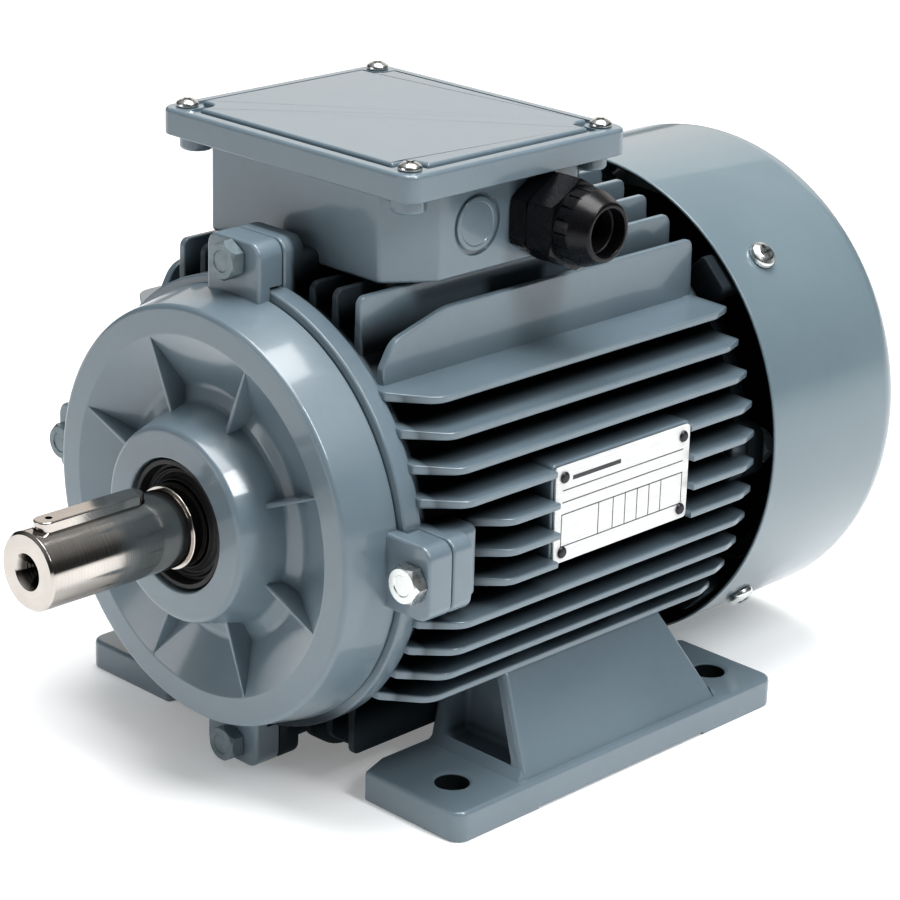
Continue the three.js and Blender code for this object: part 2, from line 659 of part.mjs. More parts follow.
// ---------------------------------------------------------------- terminal box
function boxOutline(inset) {
  const [x, y0, y1] = [BOX_X - inset, BOX_Y[0] + inset, BOX_Y[1] - inset];
  const [frontX, frontY, rearX, rearY] = [12, 17, 7, 9].map((size) => size - inset * 0.35);
  return [
    [frontX - x, y0], [x - frontX, y0], [x, y0 + frontY], [x, y1 - rearY],
    [x - rearX, y1], [rearX - x, y1], [-x, y1 - rearY], [-x, y0 + frontY],
  ];
}

function terminalBoxBase() {
  const outside = prismZ(boxOutline(0), BOX_FLOOR, BOX_RIM);
  const inside = prismZ(boxOutline(3.5), BOX_FLOOR + 4, BOX_RIM + 5);
  const rim = prismZ(chamferedRect([-60.5, 60.5], [54.5, 156.5], 3), BOX_RIM - 3.5, BOX_RIM);
  const bosses = [];
  const holes = [];
  for (const side of MIRROR) {
    for (const y of LID_SCREW_Y) {
      const inward = y < BOX_SCREW_Y ? 1 : -1;
      bosses.push(turnedZ(pin(6, 114, BOX_RIM - 1), side * 54, y + inward * 2.4, 8));
      holes.push(turnedZ(pin(2 + 2 * GAP, 116.5, BOX_RIM + 2), side * LID_SCREW_X, y, 6));
    }
    holes.push(turnedZ(pin(2 + 2 * GAP, 80, 100), side * BOX_SCREW_X, BOX_SCREW_Y, 6));
  }
  const window = block([-26, 26], [80, 130], [80, 100]);
  const glandHole = turnedX(pin(10.3, 40, 60), GLAND_Y, GLAND_Z, 16);
  const knockOutGroove = turnedX(ring(9.8, 11, BOX_X - 0.7, BOX_X + 1), ...KNOCK_OUT, 16);
  const body = cut(join(outside, rim, bosses), inside);
  return cut(body, holes, window, glandHole, knockOutGroove);
}

part('terminal_box_base', terminalBoxBase(), paint());

function boxGasket() {
  const outside = block([-38, 38], [70, 140], [85 + GAP, BOX_FLOOR - GAP]);
  const window = block([-27, 27], [79, 131], [80, 90]);
  const holes = MIRROR.map((side) => turnedZ(pin(2 + 2 * GAP, 80, 90), side * BOX_SCREW_X, BOX_SCREW_Y, 6));
  return cut(outside, window, holes);
}

part('box_gasket', boxGasket(), rubber());
MIRROR.forEach((side, i) => {
  const screw = panScrew(4.2, 3, 2, 11).rotate([-90, 0, 0]);
  const seat = [side * BOX_SCREW_X, BOX_SCREW_Y, BOX_FLOOR + 4 + GAP];
  part(`box_screw_${i + 1}`, screw.translate(seat), zinc());
});

const LID_PLATE = 126;
const GASKET_TOP = LID_PLATE - GAP;

function terminalBoxLid() {
  const outside = prismZ(chamferedRect([-LID_X, LID_X], LID_Y, 3), LID_UNDER, LID_TOP - 0.8);
  const [fromX, toX, fromY, toY] = [-LID_X + 6, LID_X - 6, LID_Y[0] + 6, LID_Y[1] - 6];
  const corner = 8;
  const panel = prismZ([
    [fromX + corner, fromY], [toX - corner, fromY], [toX - corner, fromY + corner],
    [toX, fromY + corner], [toX, toY - corner], [toX - corner, toY - corner], [toX - corner, toY],
    [fromX + corner, toY], [fromX + corner, toY - corner], [fromX, toY - corner],
    [fromX, fromY + corner], [fromX + corner, fromY + corner],
  ], LID_TOP - 1.5, LID_TOP);
  const wall = 2.8;
  const hollow = chamferedRect([wall - LID_X, LID_X - wall], [LID_Y[0] + wall, LID_Y[1] - wall], 3);
  const tray = prismZ(hollow, LID_UNDER - 1, LID_PLATE);
  const holes = MIRROR.flatMap((side) => LID_SCREW_Y.map(
    (y) => turnedZ(pin(2 + 2 * GAP, 110, 140), side * LID_SCREW_X, y, 6)));
  return cut(join(outside, panel), tray, holes);
}

part('terminal_box_lid', terminalBoxLid(), paint());
const lidGasket = cut(
  prismZ(boxOutline(0.4), BOX_RIM + GAP, GASKET_TOP), prismZ(boxOutline(3.2), BOX_RIM, GASKET_TOP + 1));
part('lid_gasket', lidGasket, rubber());

let lidScrewNumber = 1;
for (const side of MIRROR) {
  for (const y of LID_SCREW_Y) {
    const screw = panScrew(4.5, 3, 2, 12).rotate([-90, 0, 0]);
    const seat = [side * LID_SCREW_X, y, LID_TOP - 0.8 + GAP];
    part(`lid_screw_${lidScrewNumber}`, screw.translate(seat), zinc());
    lidScrewNumber += 1;
  }
}

function terminalBoard() {
  const base = block([-24, 24], [84, 126], [93, 99]);
  const feet = MIRROR.map(
    (side) => block([side * 20 - 8, side * 20 + 8], [70, 84.5], [BOX_FLOOR + 4 + GAP, 97]));
  const bridge = block([-28, 28], [72, 80], [93, 97]);
  const studs = [];
  for (const x of [-16, 0, 16]) {
    for (const y of [94, 116]) {
      studs.push(turnedZ(pin(2.5, 98, 110), x, y, 8));
    }
  }
  const links = [-16, 0, 16].map((x) => block([x - 3, x + 3], [94, 116], [101, 102.4]));
  return join(base, feet, bridge, studs, links);
}

part('terminal_board', terminalBoard(), moulding());
const earthScrew = panScrew(5, 3.4, 2.4, 0.4).rotate([-90, 0, 0]);
part('earth_screw', earthScrew.translate([-40, 128, BOX_FLOOR + 4 + GAP + 0.5]), zinc());

// ---------------------------------------------------------------- cable gland
function glandBody() {
  const flange = prismX(ngon(6, 16.5, GLAND_Y, GLAND_Z, Math.PI / 6), BOX_X + GAP, 63);
  const thread = turnedX(ring(GLAND_BORE_R, 9.7, 44, 60), GLAND_Y, GLAND_Z, 12);
  const neck = turnedX(ring(GLAND_BORE_R, 12.6, 60, 74), GLAND_Y, GLAND_Z, 12);
  const bored = turnedX(pin(GLAND_BORE_R, 20, 110), GLAND_Y, GLAND_Z, 12);
  return join(cut(flange, bored), thread, neck);
}

part('gland_body', glandBody(), nylon());
const locknut = prismX(ngon(6, 13.5, GLAND_Y, GLAND_Z), 46.5, 51.2);
part('gland_locknut', cut(locknut, turnedX(pin(10.1, 40, 60), GLAND_Y, GLAND_Z, 12)), nylon());

function glandCap() {
  const hex = prismX(ngon(6, 16.6, GLAND_Y, GLAND_Z, Math.PI / 6), 63.3, 75);
  const socket = turnedX(pin(13.1, 60, 74.3), GLAND_Y, GLAND_Z, 12);
  const dome = turnedX([[GLAND_BORE_R, 83.5], [GLAND_BORE_R, 88.5], [10.6, 88.5], [13.4, 82], [13.8, 74.6],
    [11.6, 74.6], [11.6, 83.5]], GLAND_Y, GLAND_Z, 12);
  const collar = turnedX(ring(11.6, 13.8, 74.3, 75.5), GLAND_Y, GLAND_Z, 12);
  return join(cut(hex, socket, turnedX(pin(11.6, 70, 80), GLAND_Y, GLAND_Z, 12)), collar, dome);
}

part('gland_cap_nut', glandCap(), nylon());
part('gland_sealing_insert', turnedX(ring(GLAND_BORE_R, 11, 74.6, 83.2), GLAND_Y, GLAND_Z, 12), rubber());

// ---------------------------------------------------------------- rating plate
const plate = prismX(chamferedRect(PLATE_Y, PLATE_Z, 1), PLATE_X, PLATE_X + 0.8);
const plateHoles = RIVET_Y.flatMap((y) => RIVET_Z.map((z) => turnedX(pin(1.2 + 2 * GAP, 90, 95), y, z, 6)));
part('rating_plate', cut(plate, plateHoles), labelMetal());
let rivetNumber = 1;
for (const y of RIVET_Y) {
  for (const z of RIVET_Z) {
    const rivet = turnedX([[0, PLATE_X - 3.6], [1.2, PLATE_X - 3.6], [1.2, PLATE_X + 0.8 + GAP],
      [2.2, PLATE_X + 0.8 + GAP], [1.2, PLATE_X + 2.1], [0, PLATE_X + 2.1]], y, z, 6);
    part(`rating_plate_rivet_${rivetNumber}`, rivet, zinc());
    rivetNumber += 1;
  }
}

// ---------------------------------------------------------------- into the part's own frame
// Origin at the centre of the footprint, on the surface that the feet stand on.
motor.position.set(0, (SHAFT_LENGTH - COVER_END) / 2, AXIS_HEIGHT);

const group = new THREE.Group();
group.add(motor);
export default group;
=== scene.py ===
import json
import math
from itertools import product

import bmesh
import bpy
from mathutils import Matrix, Vector


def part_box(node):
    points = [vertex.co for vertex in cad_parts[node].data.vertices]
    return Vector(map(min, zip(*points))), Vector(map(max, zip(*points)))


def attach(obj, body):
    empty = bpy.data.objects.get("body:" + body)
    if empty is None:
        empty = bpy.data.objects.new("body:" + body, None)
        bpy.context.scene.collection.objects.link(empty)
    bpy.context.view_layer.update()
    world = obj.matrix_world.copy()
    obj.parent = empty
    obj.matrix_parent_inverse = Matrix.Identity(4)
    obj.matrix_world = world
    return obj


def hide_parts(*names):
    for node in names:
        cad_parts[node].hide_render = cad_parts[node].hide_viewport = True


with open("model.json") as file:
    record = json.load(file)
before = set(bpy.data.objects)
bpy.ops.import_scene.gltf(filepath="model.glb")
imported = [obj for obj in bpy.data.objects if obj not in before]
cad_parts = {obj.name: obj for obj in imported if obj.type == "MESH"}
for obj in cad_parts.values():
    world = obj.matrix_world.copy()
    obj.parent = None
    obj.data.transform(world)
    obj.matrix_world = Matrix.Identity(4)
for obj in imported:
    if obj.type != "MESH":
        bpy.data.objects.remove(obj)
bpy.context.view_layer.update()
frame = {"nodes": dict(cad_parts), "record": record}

# -------- dimensions
# Shapes are made in millimetres in motor coordinates: the shaft axis is the Y axis, y = 0 at the
# shaft shoulder and +Y towards the fan. TO_ROW takes them into the row frame, in metres.
SHAFT_LENGTH = 60
shaft_low, shaft_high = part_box("shaft")
SHOULDER_Y = shaft_low.y * 1000 + SHAFT_LENGTH
AXIS_Z = (shaft_low.z + shaft_high.z) * 500
TO_ROW = Matrix.Scale(0.001, 4) @ Matrix.Translation((0, SHOULDER_Y, AXIS_Z))


def motor_box(node):
    """Lowest and highest corner of a CAD node in motor coordinates."""
    return [TO_ROW.inverted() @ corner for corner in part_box(node)]


def row_y(y):
    """Row-frame Y, in metres, of a place in motor coordinates."""
    return (y + SHOULDER_Y) / 1000


GAP = 0.3
TURN = 2 * math.pi
QUARTERS = (0, 90, 180, 270)
DIAGONALS = (45, 135, 225, 315)
MIRROR = (1, -1)

SHAFT_R = 14
BORE_R = 75
HOUSING_R = 80
HOUSING_FRONT, HOUSING_REAR = 35.3, 208
FLANGE_R = HOUSING_R + 2.5
FIN_TIP_R = 96
FIN_PITCH = 11
FIN_HALF = 1.3
LUG_R = 91
LUG_REACH = 98.5
LUG_HALF = 13.5
BOLT_R = 3.9
BOLT_HOLE_R = BOLT_R + 2 * GAP
BOLT_HEAD_R = 7.2
FACE_Y = 13.7
LUG_FACE = 30.2
REAR_BOLT_R = 82
REAR_LUG_REACH, REAR_LUG_HALF = 88, 10
REAR_SEAT = 218
FOOT_BOLT_X = 67
FOOT_BOLT_Y = (108, 158)
FOOT_TOP = 56.7
BEARING_BORE_R = 15
BEARING_OUTER_R = 31
COVER_SCREW_Y = 233
SCREW_SHANK_R = 2
SCREW_HOLE_R = SCREW_SHANK_R + 2 * GAP

cover_low, cover_high = motor_box("fan_cover")
COVER_R = 97.1
COVER_FRONT, COVER_END = cover_low.y, cover_high.y
COVER_WALL = 1.5

plate_low, plate_high = motor_box("rating_plate")
PLATE_Y = (plate_low.y, plate_high.y)
PLATE_Z = (plate_low.z, plate_high.z)
PLATE_X = (plate_low.x, plate_high.x)
RIVET_INSET = 4

lid_low, lid_high = motor_box("terminal_box_lid")
LID_TOP = lid_high.z
LID_RIM = LID_TOP - 0.8
BOX_FLOOR, BOX_RIM = 86.4, 124
BOX_INSIDE = BOX_FLOOR + 4
WINDOW_X, WINDOW_Y = (-26, 26), (80, 130)
BOX_X = 55
BOX_Y = (58, 152)
LID_SCREW_X = 56.7
LID_SCREW_Y = (58.4, 152.2)
BOX_SCREW_X, BOX_SCREW_Y = 33, 105
GLAND_Y, GLAND_Z = 123, 102.5
GLAND_BORE_R = 8
KNOCK_OUT = (93, 104)

FOOT_UNDER = -AXIS_Z
PAD_TOP = 11.6 - AXIS_Z
FOOT_HOLE_X = 80
FOOT_HOLE_Y = (63, 203)
FOOT_HOLE_R = 6
PAD_INNER_X = 54


# -------- solid tools
def arcs(corners, steps=5):
    """Outline from corners (a, b) or (a, b, radius): a corner with a radius becomes an arc."""
    outline = []
    for i, corner in enumerate(corners):
        here = Vector(corner[:2])
        radius = corner[2] if len(corner) > 2 else 0
        back = Vector(corners[i - 1][:2]) - here
        ahead = Vector(corners[(i + 1) % len(corners)][:2]) - here
        half = back.angle(ahead) / 2
        if radius <= 0 or half > 1.56:
            outline.append(here)
            continue
        reach = min(radius / math.tan(half), 0.49 * back.length, 0.49 * ahead.length)
        radius = reach * math.tan(half)
        halfway = (back.normalized() + ahead.normalized()).normalized()
        middle = here + halfway * (radius / math.sin(half))
        start = here + back.normalized() * reach - middle
        end = here + ahead.normalized() * reach - middle
        sweep = start.angle_signed(end)
        for k in range(steps + 1):
            turned_by = -sweep * k / steps
            c, s = math.cos(turned_by), math.sin(turned_by)
            outline.append(middle + Vector((start.x * c - start.y * s, start.x * s + start.y * c)))
    return outline


def turned(corners, segments=96, steps=4):
    """A piece turned about the Y axis from the closed profile of (radius, y) corners."""
    solid = bmesh.new()
    rings = []
    for point in arcs(corners, steps):
        if point.x < 1e-6:
            rings.append([solid.verts.new((0, point.y, 0))])
            continue
        angles = [TURN * i / segments for i in range(segments)]
        rings.append([solid.verts.new((point.x * math.cos(a), point.y, point.x * math.sin(a)))
                      for a in angles])
    for ring, following in zip(rings, rings[1:] + rings[:1]):
        if len(ring) == len(following) == 1:
            continue
        for i in range(segments):
            j = (i + 1) % segments
            around = [ring[i % len(ring)], ring[j % len(ring)],
                      following[j % len(following)], following[i % len(following)]]
            solid.faces.new(list(dict.fromkeys(around)))
    bmesh.ops.recalc_face_normals(solid, faces=solid.faces)
    return solid


def inset(outline, depth):
    """The outline moved inwards by depth."""
    moved_in = []
    for i, here in enumerate(outline):
        before = (here - outline[i - 1]).normalized()
        after = (outline[(i + 1) % len(outline)] - here).normalized()
        normals = Vector((-before.y, before.x)), Vector((-after.y, after.x))
        share = max(0.35, 1 + normals[0].dot(normals[1]))
        moved_in.append(here + (normals[0] + normals[1]) * (depth / share))
    return moved_in


def area(outline):
    return sum(a.cross(b) for a, b in zip(outline, outline[1:] + outline[:1])) / 2


def prism(corners, low, high, axis="z", ease=(0.6, 0.6), steps=3, arc_steps=5):
    """A straight solid along an axis whose two end edges are rounded by the ease radii.
    The outline is in (x, y) for z, in (x, z) for y and in (y, z) for x."""
    outline = arcs(corners, arc_steps)
    if area(outline) < 0:
        outline.reverse()
    put = {"z": lambda a, b, h: (a, b, h),
           "y": lambda a, b, h: (a, h, b),
           "x": lambda a, b, h: (h, a, b)}[axis]
    quarter = [math.pi / 2 * k / steps for k in range(steps + 1)]
    layers = [(low + ease[0] * (1 - math.cos(t)), ease[0] * (1 - math.sin(t))) for t in quarter]
    layers += [(high - ease[1] * (1 - math.cos(t)), ease[1] * (1 - math.sin(t)))
               for t in reversed(quarter)]
    if ease[0] <= 0:
        layers = layers[steps:]
    if ease[1] <= 0:
        layers = layers[:-steps]
    solid = bmesh.new()
    rings = []
    for height, depth in layers:
        points = inset(outline, depth) if depth > 1e-6 else outline
        rings.append([solid.verts.new(put(p.x, p.y, height)) for p in points])
    for ring, following in zip(rings, rings[1:]):
        for i in range(len(ring)):
            j = (i + 1) % len(ring)
            solid.faces.new((ring[i], ring[j], following[j], following[i]))
    solid.faces.new(list(reversed(rings[0])))
    solid.faces.new(rings[-1])
    bmesh.ops.recalc_face_normals(solid, faces=solid.faces)
    return solid


def rect(across, along, corner=0):
    """Corners of a rectangle from two ranges, all with the same radius."""
    return [(across[0], along[0], corner), (across[1], along[0], corner),
            (across[1], along[1], corner), (across[0], along[1], corner)]


def block(xs, ys, zs, ease=0.6, corner=1):
    return prism(rect(xs, ys, corner), zs[0], zs[1], "z", (ease, ease))


def ngon(count, radius, centre=(0, 0), turn=0.0, corner=0.0):
    angles = [turn + TURN * i / count for i in range(count)]
    return [(centre[0] + radius * math.cos(a), centre[1] + radius * math.sin(a), corner)
            for a in angles]


def hull(points, ease=0.6, segments=2):
    """The convex solid round some points, with rounded edges."""
    solid = bmesh.new()
    verts = [solid.verts.new(p) for p in points]
    bmesh.ops.convex_hull(solid, input=verts)
    bmesh.ops.dissolve_limit(solid, angle_limit=0.01, verts=solid.verts, edges=solid.edges)
    if ease:
        bmesh.ops.bevel(solid, geom=solid.edges[:], offset=ease, segments=segments, profile=0.5,
                        affect="EDGES", clamp_overlap=True)
    bmesh.ops.recalc_face_normals(solid, faces=solid.faces)
    return solid


def moved(solid, matrix):
    copy = solid.copy()
    bmesh.ops.transform(copy, matrix=matrix, verts=copy.verts)
    if matrix.determinant() < 0:
        bmesh.ops.reverse_faces(copy, faces=copy.faces)
    return copy


def shifted(solid, x=0, y=0, z=0):
    return moved(solid, Matrix.Translation((x, y, z)))


def about_y(solid, degrees):
    """Turned about the shaft axis: 0 degrees is +X and 90 degrees is +Z."""
    return moved(solid, Matrix.Rotation(-math.radians(degrees), 4, "Y"))


def around(solid, degrees):
    return [about_y(solid, angle) for angle in degrees]


def pointing(solid, axis, at=(0, 0, 0)):
    """A piece made along +Y, laid along another direction and moved to a place."""
    turns = {"x": (-90, "Z"), "-x": (90, "Z"), "z": (90, "X"), "-z": (-90, "X"), "-y": (180, "Z")}
    degrees, about = turns[axis]
    return moved(solid, Matrix.Translation(at) @ Matrix.Rotation(math.radians(degrees), 4, about))


def mirrored(solid, axis):
    signs = {"x": (-1, 1, 1), "z": (1, 1, -1)}[axis]
    return moved(solid, Matrix.Diagonal((*signs, 1)))


def linked(name, data):
    made = bpy.data.objects.new(name, data)
    bpy.context.scene.collection.objects.link(made)
    return made


def as_object(solid, name):
    mesh = bpy.data.meshes.new(name)
    solid.to_mesh(mesh)
    return linked(name, mesh)


def combined(operation, first, others):
    """first joined with, cut by or limited to the other closed solids."""
    objects = [as_object(solid, "part_of_solid") for solid in (first, *flat(others))]
    for tool in objects[1:]:
        step = objects[0].modifiers.new("step", "BOOLEAN")
        step.operation = operation
        step.solver = "MANIFOLD"
        step.object = tool
    graph = bpy.context.evaluated_depsgraph_get()
    mesh = objects[0].evaluated_get(graph).to_mesh()
    result = bmesh.new()
    result.from_mesh(mesh)
    for used in objects:
        data = used.data
        bpy.data.objects.remove(used)
        bpy.data.meshes.remove(data)
    if not result.faces:
        raise RuntimeError("a combined solid came out empty")
    return result


def join(first, *others):
    return combined("UNION", first, others)


def cut(first, *others):
    return combined("DIFFERENCE", first, others)


def common(first, *others):
    return combined("INTERSECT", first, others)


def flat(items):
    out = []
    for item in items:
        out.extend(item if isinstance(item, list) else [item])
    return out


def together(solids):
    """Separate islands as one mesh."""
    result = bmesh.new()
    for solid in solids:
        mesh = bpy.data.meshes.new("island")
        solid.to_mesh(mesh)
        result.from_mesh(mesh)
        bpy.data.meshes.remove(mesh)
    return result


def pin(radius, low, high, ease=0.0):
    return [(0, low), (radius, low, ease), (radius, high, ease), (0, high)]


def tube(inner, outer, low, high, ease=0.4):
    return [(inner, low, ease), (outer, low, ease), (outer, high, ease), (inner, high, ease)]


def drill(radius, length, axis, at, segments=20):
    """A plain round tool that starts at a place and runs along an axis."""
    return pointing(turned(pin(radius, 0, length), segments), axis, at)


def drills_along_shaft(radius, low, high, circle):
    """Four round tools parallel to the shaft on a circle of that radius."""
    return around(shifted(turned(pin(radius, low, high), 24), x=circle), QUARTERS)


# -------- materials
class Nodes:
    """Short forms for building the node tree of one material, or of the world."""

    def __init__(self, name, world=False):
        self.owner = (bpy.data.worlds if world else bpy.data.materials).new(name)
        self.owner.use_nodes = True
        self.tree = self.owner.node_tree
        self.shader = self.tree.nodes["Background" if world else "Principled BSDF"]
        self.place = self.add("TexCoord").outputs["Generated" if world else "Object"]

    def add(self, kind, settings=None, **inputs):
        made = self.tree.nodes.new("ShaderNode" + kind)
        for key, value in (settings or {}).items():
            setattr(made, key, value)
        for key, value in inputs.items():
            self.set(made.inputs[key.replace("_", " ")], value)
        return made

    def set(self, socket, value):
        if isinstance(value, bpy.types.NodeSocket):
            self.tree.links.new(value, socket)
        else:
            socket.default_value = value

    def math(self, operation, *values):
        """One math node; more than two values are taken in pairs, from the left."""
        made = self.tree.nodes.new("ShaderNodeMath")
        made.operation = operation
        for socket, value in zip(made.inputs, values[:2]):
            self.set(socket, value)
        if len(values) > 2:
            return self.math(operation, made.outputs[0], *values[2:])
        return made.outputs[0]

    def times(self, *values):
        return self.math("MULTIPLY", *values)

    def weighted(self, first, share, second, other_share):
        return self.math("ADD", self.times(first, share), self.times(second, other_share))

    def length(self, a, b):
        return self.math("SQRT", self.math("ADD", self.times(a, a), self.times(b, b)))

    def xyz(self):
        return self.add("SeparateXYZ", Vector=self.place).outputs[:]

    def noise(self, scale, detail=2.0, roughness=0.5, vector=None):
        made = self.add("TexNoise", Vector=vector or self.place, Scale=scale, Detail=detail,
                        Roughness=roughness)
        return made.outputs["Fac"]

    def lines(self, value, count, detail):
        """Noise that changes along one direction only, count times in a metre."""
        made = self.add("TexNoise", {"noise_dimensions": "1D"}, W=self.times(value, count),
                        Scale=1.0, Detail=detail)
        return made.outputs["Fac"]

    def ramp(self, factor, *stops):
        made = self.add("ValToRGB", Fac=factor)
        elements = made.color_ramp.elements
        while len(elements) < len(stops):
            elements.new(0.5)
        for element, (position, colour) in zip(elements, stops):
            element.position = position
            element.color = (*colour, 1)
        return made.outputs["Color"]

    def spread(self, value, low, high, to_low, to_high):
        made = self.add("MapRange", {"interpolation_type": "SMOOTHSTEP"}, Value=value, From_Min=low,
                        From_Max=high, To_Min=to_low, To_Max=to_high)
        return made.outputs["Result"]

    def bump(self, height, strength, distance):
        normal = self.add("Bump", Height=height, Strength=strength, Distance=distance)
        self.tree.links.new(normal.outputs["Normal"], self.shader.inputs["Normal"])

    def finish(self, **inputs):
        for key, value in inputs.items():
            self.set(self.shader.inputs[key.replace("_", " ")], value)
        return self.owner

    def radius(self):
        """Distance from the shaft axis, in metres."""
        x, _, z = self.xyz()
        return self.length(x, self.math("SUBTRACT", z, AXIS_Z / 1000))


def multiplied(nodes, colour, factor):
    grey = nodes.add("CombineColor", Red=factor, Green=factor, Blue=factor).outputs["Color"]
    made = nodes.tree.nodes.new("ShaderNodeMix")
    made.data_type = "RGBA"
    made.blend_type = "MULTIPLY"
    made.inputs["Factor"].default_value = 1.0
    nodes.tree.links.new(colour, made.inputs["A"])
    nodes.tree.links.new(grey, made.inputs["B"])
    return made.outputs["Result"]


# Painted shade is set by place. Each pair is the stretch over which the surface changes between
# shaded and unshaded, in metres of the row frame: distance from the shaft axis, height, distance
# from the middle plane, or place along the shaft.
FIN_ROOT_TO_TIP = (0.0815, 0.0945)
SHELF_UP, SHELF_ASIDE = (0.1555, 0.1562), (0.050, 0.056)
NECK_UP, NECK_ASIDE, NECK_FRONT = (0.150, 0.160), (0.040, 0.0435), (row_y(66), row_y(72))
FLANGE_EDGE, REAR_EDGE = (row_y(44), row_y(48)), (row_y(202), row_y(208))
UNDERSIDE_UP = (0.030, 0.045)
GAP_DEPTH = (0.085, 0.13)
CENTRE_HOLE = (0.0050, 0.0066)
COVER_WALL_INSIDE = ((COVER_R - 1.2) / 1000, (COVER_R - 0.5) / 1000)
COVER_BEND = (row_y(COVER_END - 18), row_y(COVER_END - 15))
LATHE_LINES, SHEET_LINES = 2600.0, 2000.0


def between_fins(nodes):
    """How much painted shade the housing gets: painted shade darkens the gaps between the fins,
    their rear ends, the underside and the upright fins in front of the box; none on the flange
    ring and above the highest fin on each side."""
    x, along, up = nodes.xyz()
    aside = nodes.math("ABSOLUTE", x)
    depth = nodes.spread(nodes.radius(), *FIN_ROOT_TO_TIP, 0.03, 1.0)
    flange = nodes.spread(along, *FLANGE_EDGE, 1.0, 0.0)
    shelf = nodes.times(nodes.spread(up, *SHELF_UP, 0.0, 1.0),
                        nodes.spread(aside, *SHELF_ASIDE, 0.0, 1.0))
    rear = nodes.spread(along, *REAR_EDGE, 1.0, 0.1)
    under = nodes.spread(up, *UNDERSIDE_UP, 0.2, 1.0)
    before_neck = nodes.math("MAXIMUM", nodes.spread(aside, *NECK_ASIDE, 0.3, 1.0),
                             nodes.spread(along, *NECK_FRONT, 0.3, 1.0),
                             nodes.spread(up, *NECK_UP, 1.0, 0.3), flange)
    return nodes.times(nodes.math("MAXIMUM", depth, flange, shelf), before_neck, rear, under)


def inside_cover(nodes):
    """Painted shade on the inner wall of the fan cover; the barrel and the grille face are left
    unshaded.
    """
    _, along, _ = nodes.xyz()
    wall = nodes.spread(nodes.radius(), *COVER_WALL_INSIDE, 0.06, 1.0)
    end = nodes.spread(along, *COVER_BEND, 0.0, 1.0)
    return nodes.math("MAXIMUM", wall, end)


def round_foot_holes(nodes):
    """Painted shade inside the holding-down holes."""
    x, y, _ = nodes.xyz()
    half = (FOOT_HOLE_Y[1] - FOOT_HOLE_Y[0]) / 2000
    from_middle = nodes.math("SUBTRACT", y, row_y(sum(FOOT_HOLE_Y) / 2))
    x = nodes.math("SUBTRACT", nodes.math("ABSOLUTE", x), FOOT_HOLE_X / 1000)
    y = nodes.math("SUBTRACT", nodes.math("ABSOLUTE", from_middle), half)
    edge = (FOOT_HOLE_R + 0.1) / 1000, (FOOT_HOLE_R + 0.6) / 1000
    return nodes.spread(nodes.length(x, y), *edge, 0.08, 1.0)


def in_shadow(nodes):
    """Painted shade on a piece that sits in a gap: darkest near the shaft axis, less further out."""
    return nodes.spread(nodes.radius(), *GAP_DEPTH, 0.06, 1.0)


def paint_material(name, light, dark, cast=1.0, rough=(0.34, 0.44), shade_mask=None, bump=0.12,
                   coat=(0.7, 0.1)):
    """Gloss enamel: slow tone changes, cast unevenness under it and fine orange peel."""
    nodes = Nodes(name)
    tone = nodes.noise(16, 3)
    sand = nodes.noise(210, 4, 0.6)
    peel = nodes.noise(900, 2)
    colour = nodes.ramp(nodes.weighted(tone, 0.8, sand, 0.2), (0.35, dark), (0.65, light))
    nodes.bump(nodes.weighted(sand, 0.75 * cast, peel, 0.25), bump, 0.0005)
    roughness = nodes.spread(tone, 0.3, 0.7, *rough)
    specular = 0.5
    # With a shade mask, painted shade darkens the colour, takes the coat and specular away where the
    # mask is low, and raises the roughness there.
    if shade_mask:
        unshaded = shade_mask(nodes)
        colour = multiplied(nodes, colour, unshaded)
        coat = (nodes.times(unshaded, coat[0]), coat[1])
        roughness = nodes.math("MAXIMUM", roughness, nodes.math("SUBTRACT", 1.0, unshaded))
        specular = nodes.times(unshaded, 0.5)
    return nodes.finish(Base_Color=colour, Roughness=roughness, Specular_IOR_Level=specular,
                        Coat_Weight=coat[0], Coat_Roughness=coat[1])


def turned_metal(name, light, dark, rough, depth):
    """Metal cut on a lathe: fine rings round the shaft axis, on the barrel and on the end faces."""
    nodes = Nodes(name)
    _, along, _ = nodes.xyz()
    rings = nodes.lines(nodes.math("ADD", along, nodes.radius()), LATHE_LINES, 3.0)
    smear = nodes.noise(60, 3)
    colour = nodes.ramp(nodes.weighted(rings, 0.5, smear, 0.5), (0.3, dark), (0.7, light))
    # Painted shade: the colour is darkened inside the centre hole, near the shaft axis.
    centre_hole = nodes.spread(nodes.radius(), *CENTRE_HOLE, 0.1, 1.0)
    nodes.bump(rings, depth, 0.0002)
    return nodes.finish(Base_Color=multiplied(nodes, colour, centre_hole), Metallic=1.0,
                        Roughness=nodes.spread(rings, 0.3, 0.7, *rough))


def grained(name, light, dark, rough, scale, metallic=0.0, strength=0.12, coat=0.0,
            specular=0.5):
    """A surface with fine grain: plated, cast, moulded or rubber."""
    nodes = Nodes(name)
    fine = nodes.noise(scale, 3)
    broad = nodes.noise(scale / 12, 3)
    mixed = nodes.weighted(fine, 0.5, broad, 0.5)
    colour = nodes.ramp(mixed, (0.35, dark), (0.65, light))
    nodes.bump(fine, strength, 0.0002)
    return nodes.finish(Base_Color=colour, Metallic=metallic,
                        Roughness=nodes.spread(mixed, 0.35, 0.65, *rough),
                        Specular_IOR_Level=specular, Coat_Weight=coat, Coat_Roughness=0.1)


def stacked(name, light, dark):
    """Laminated sheet: thin rings along the shaft axis."""
    nodes = Nodes(name)
    _, along, _ = nodes.xyz()
    sheets = nodes.lines(along, SHEET_LINES, 1.0)
    nodes.bump(sheets, 0.4, 0.0004)
    return nodes.finish(Base_Color=nodes.ramp(sheets, (0.4, dark), (0.6, light)), Metallic=0.8,
                        Roughness=0.55)


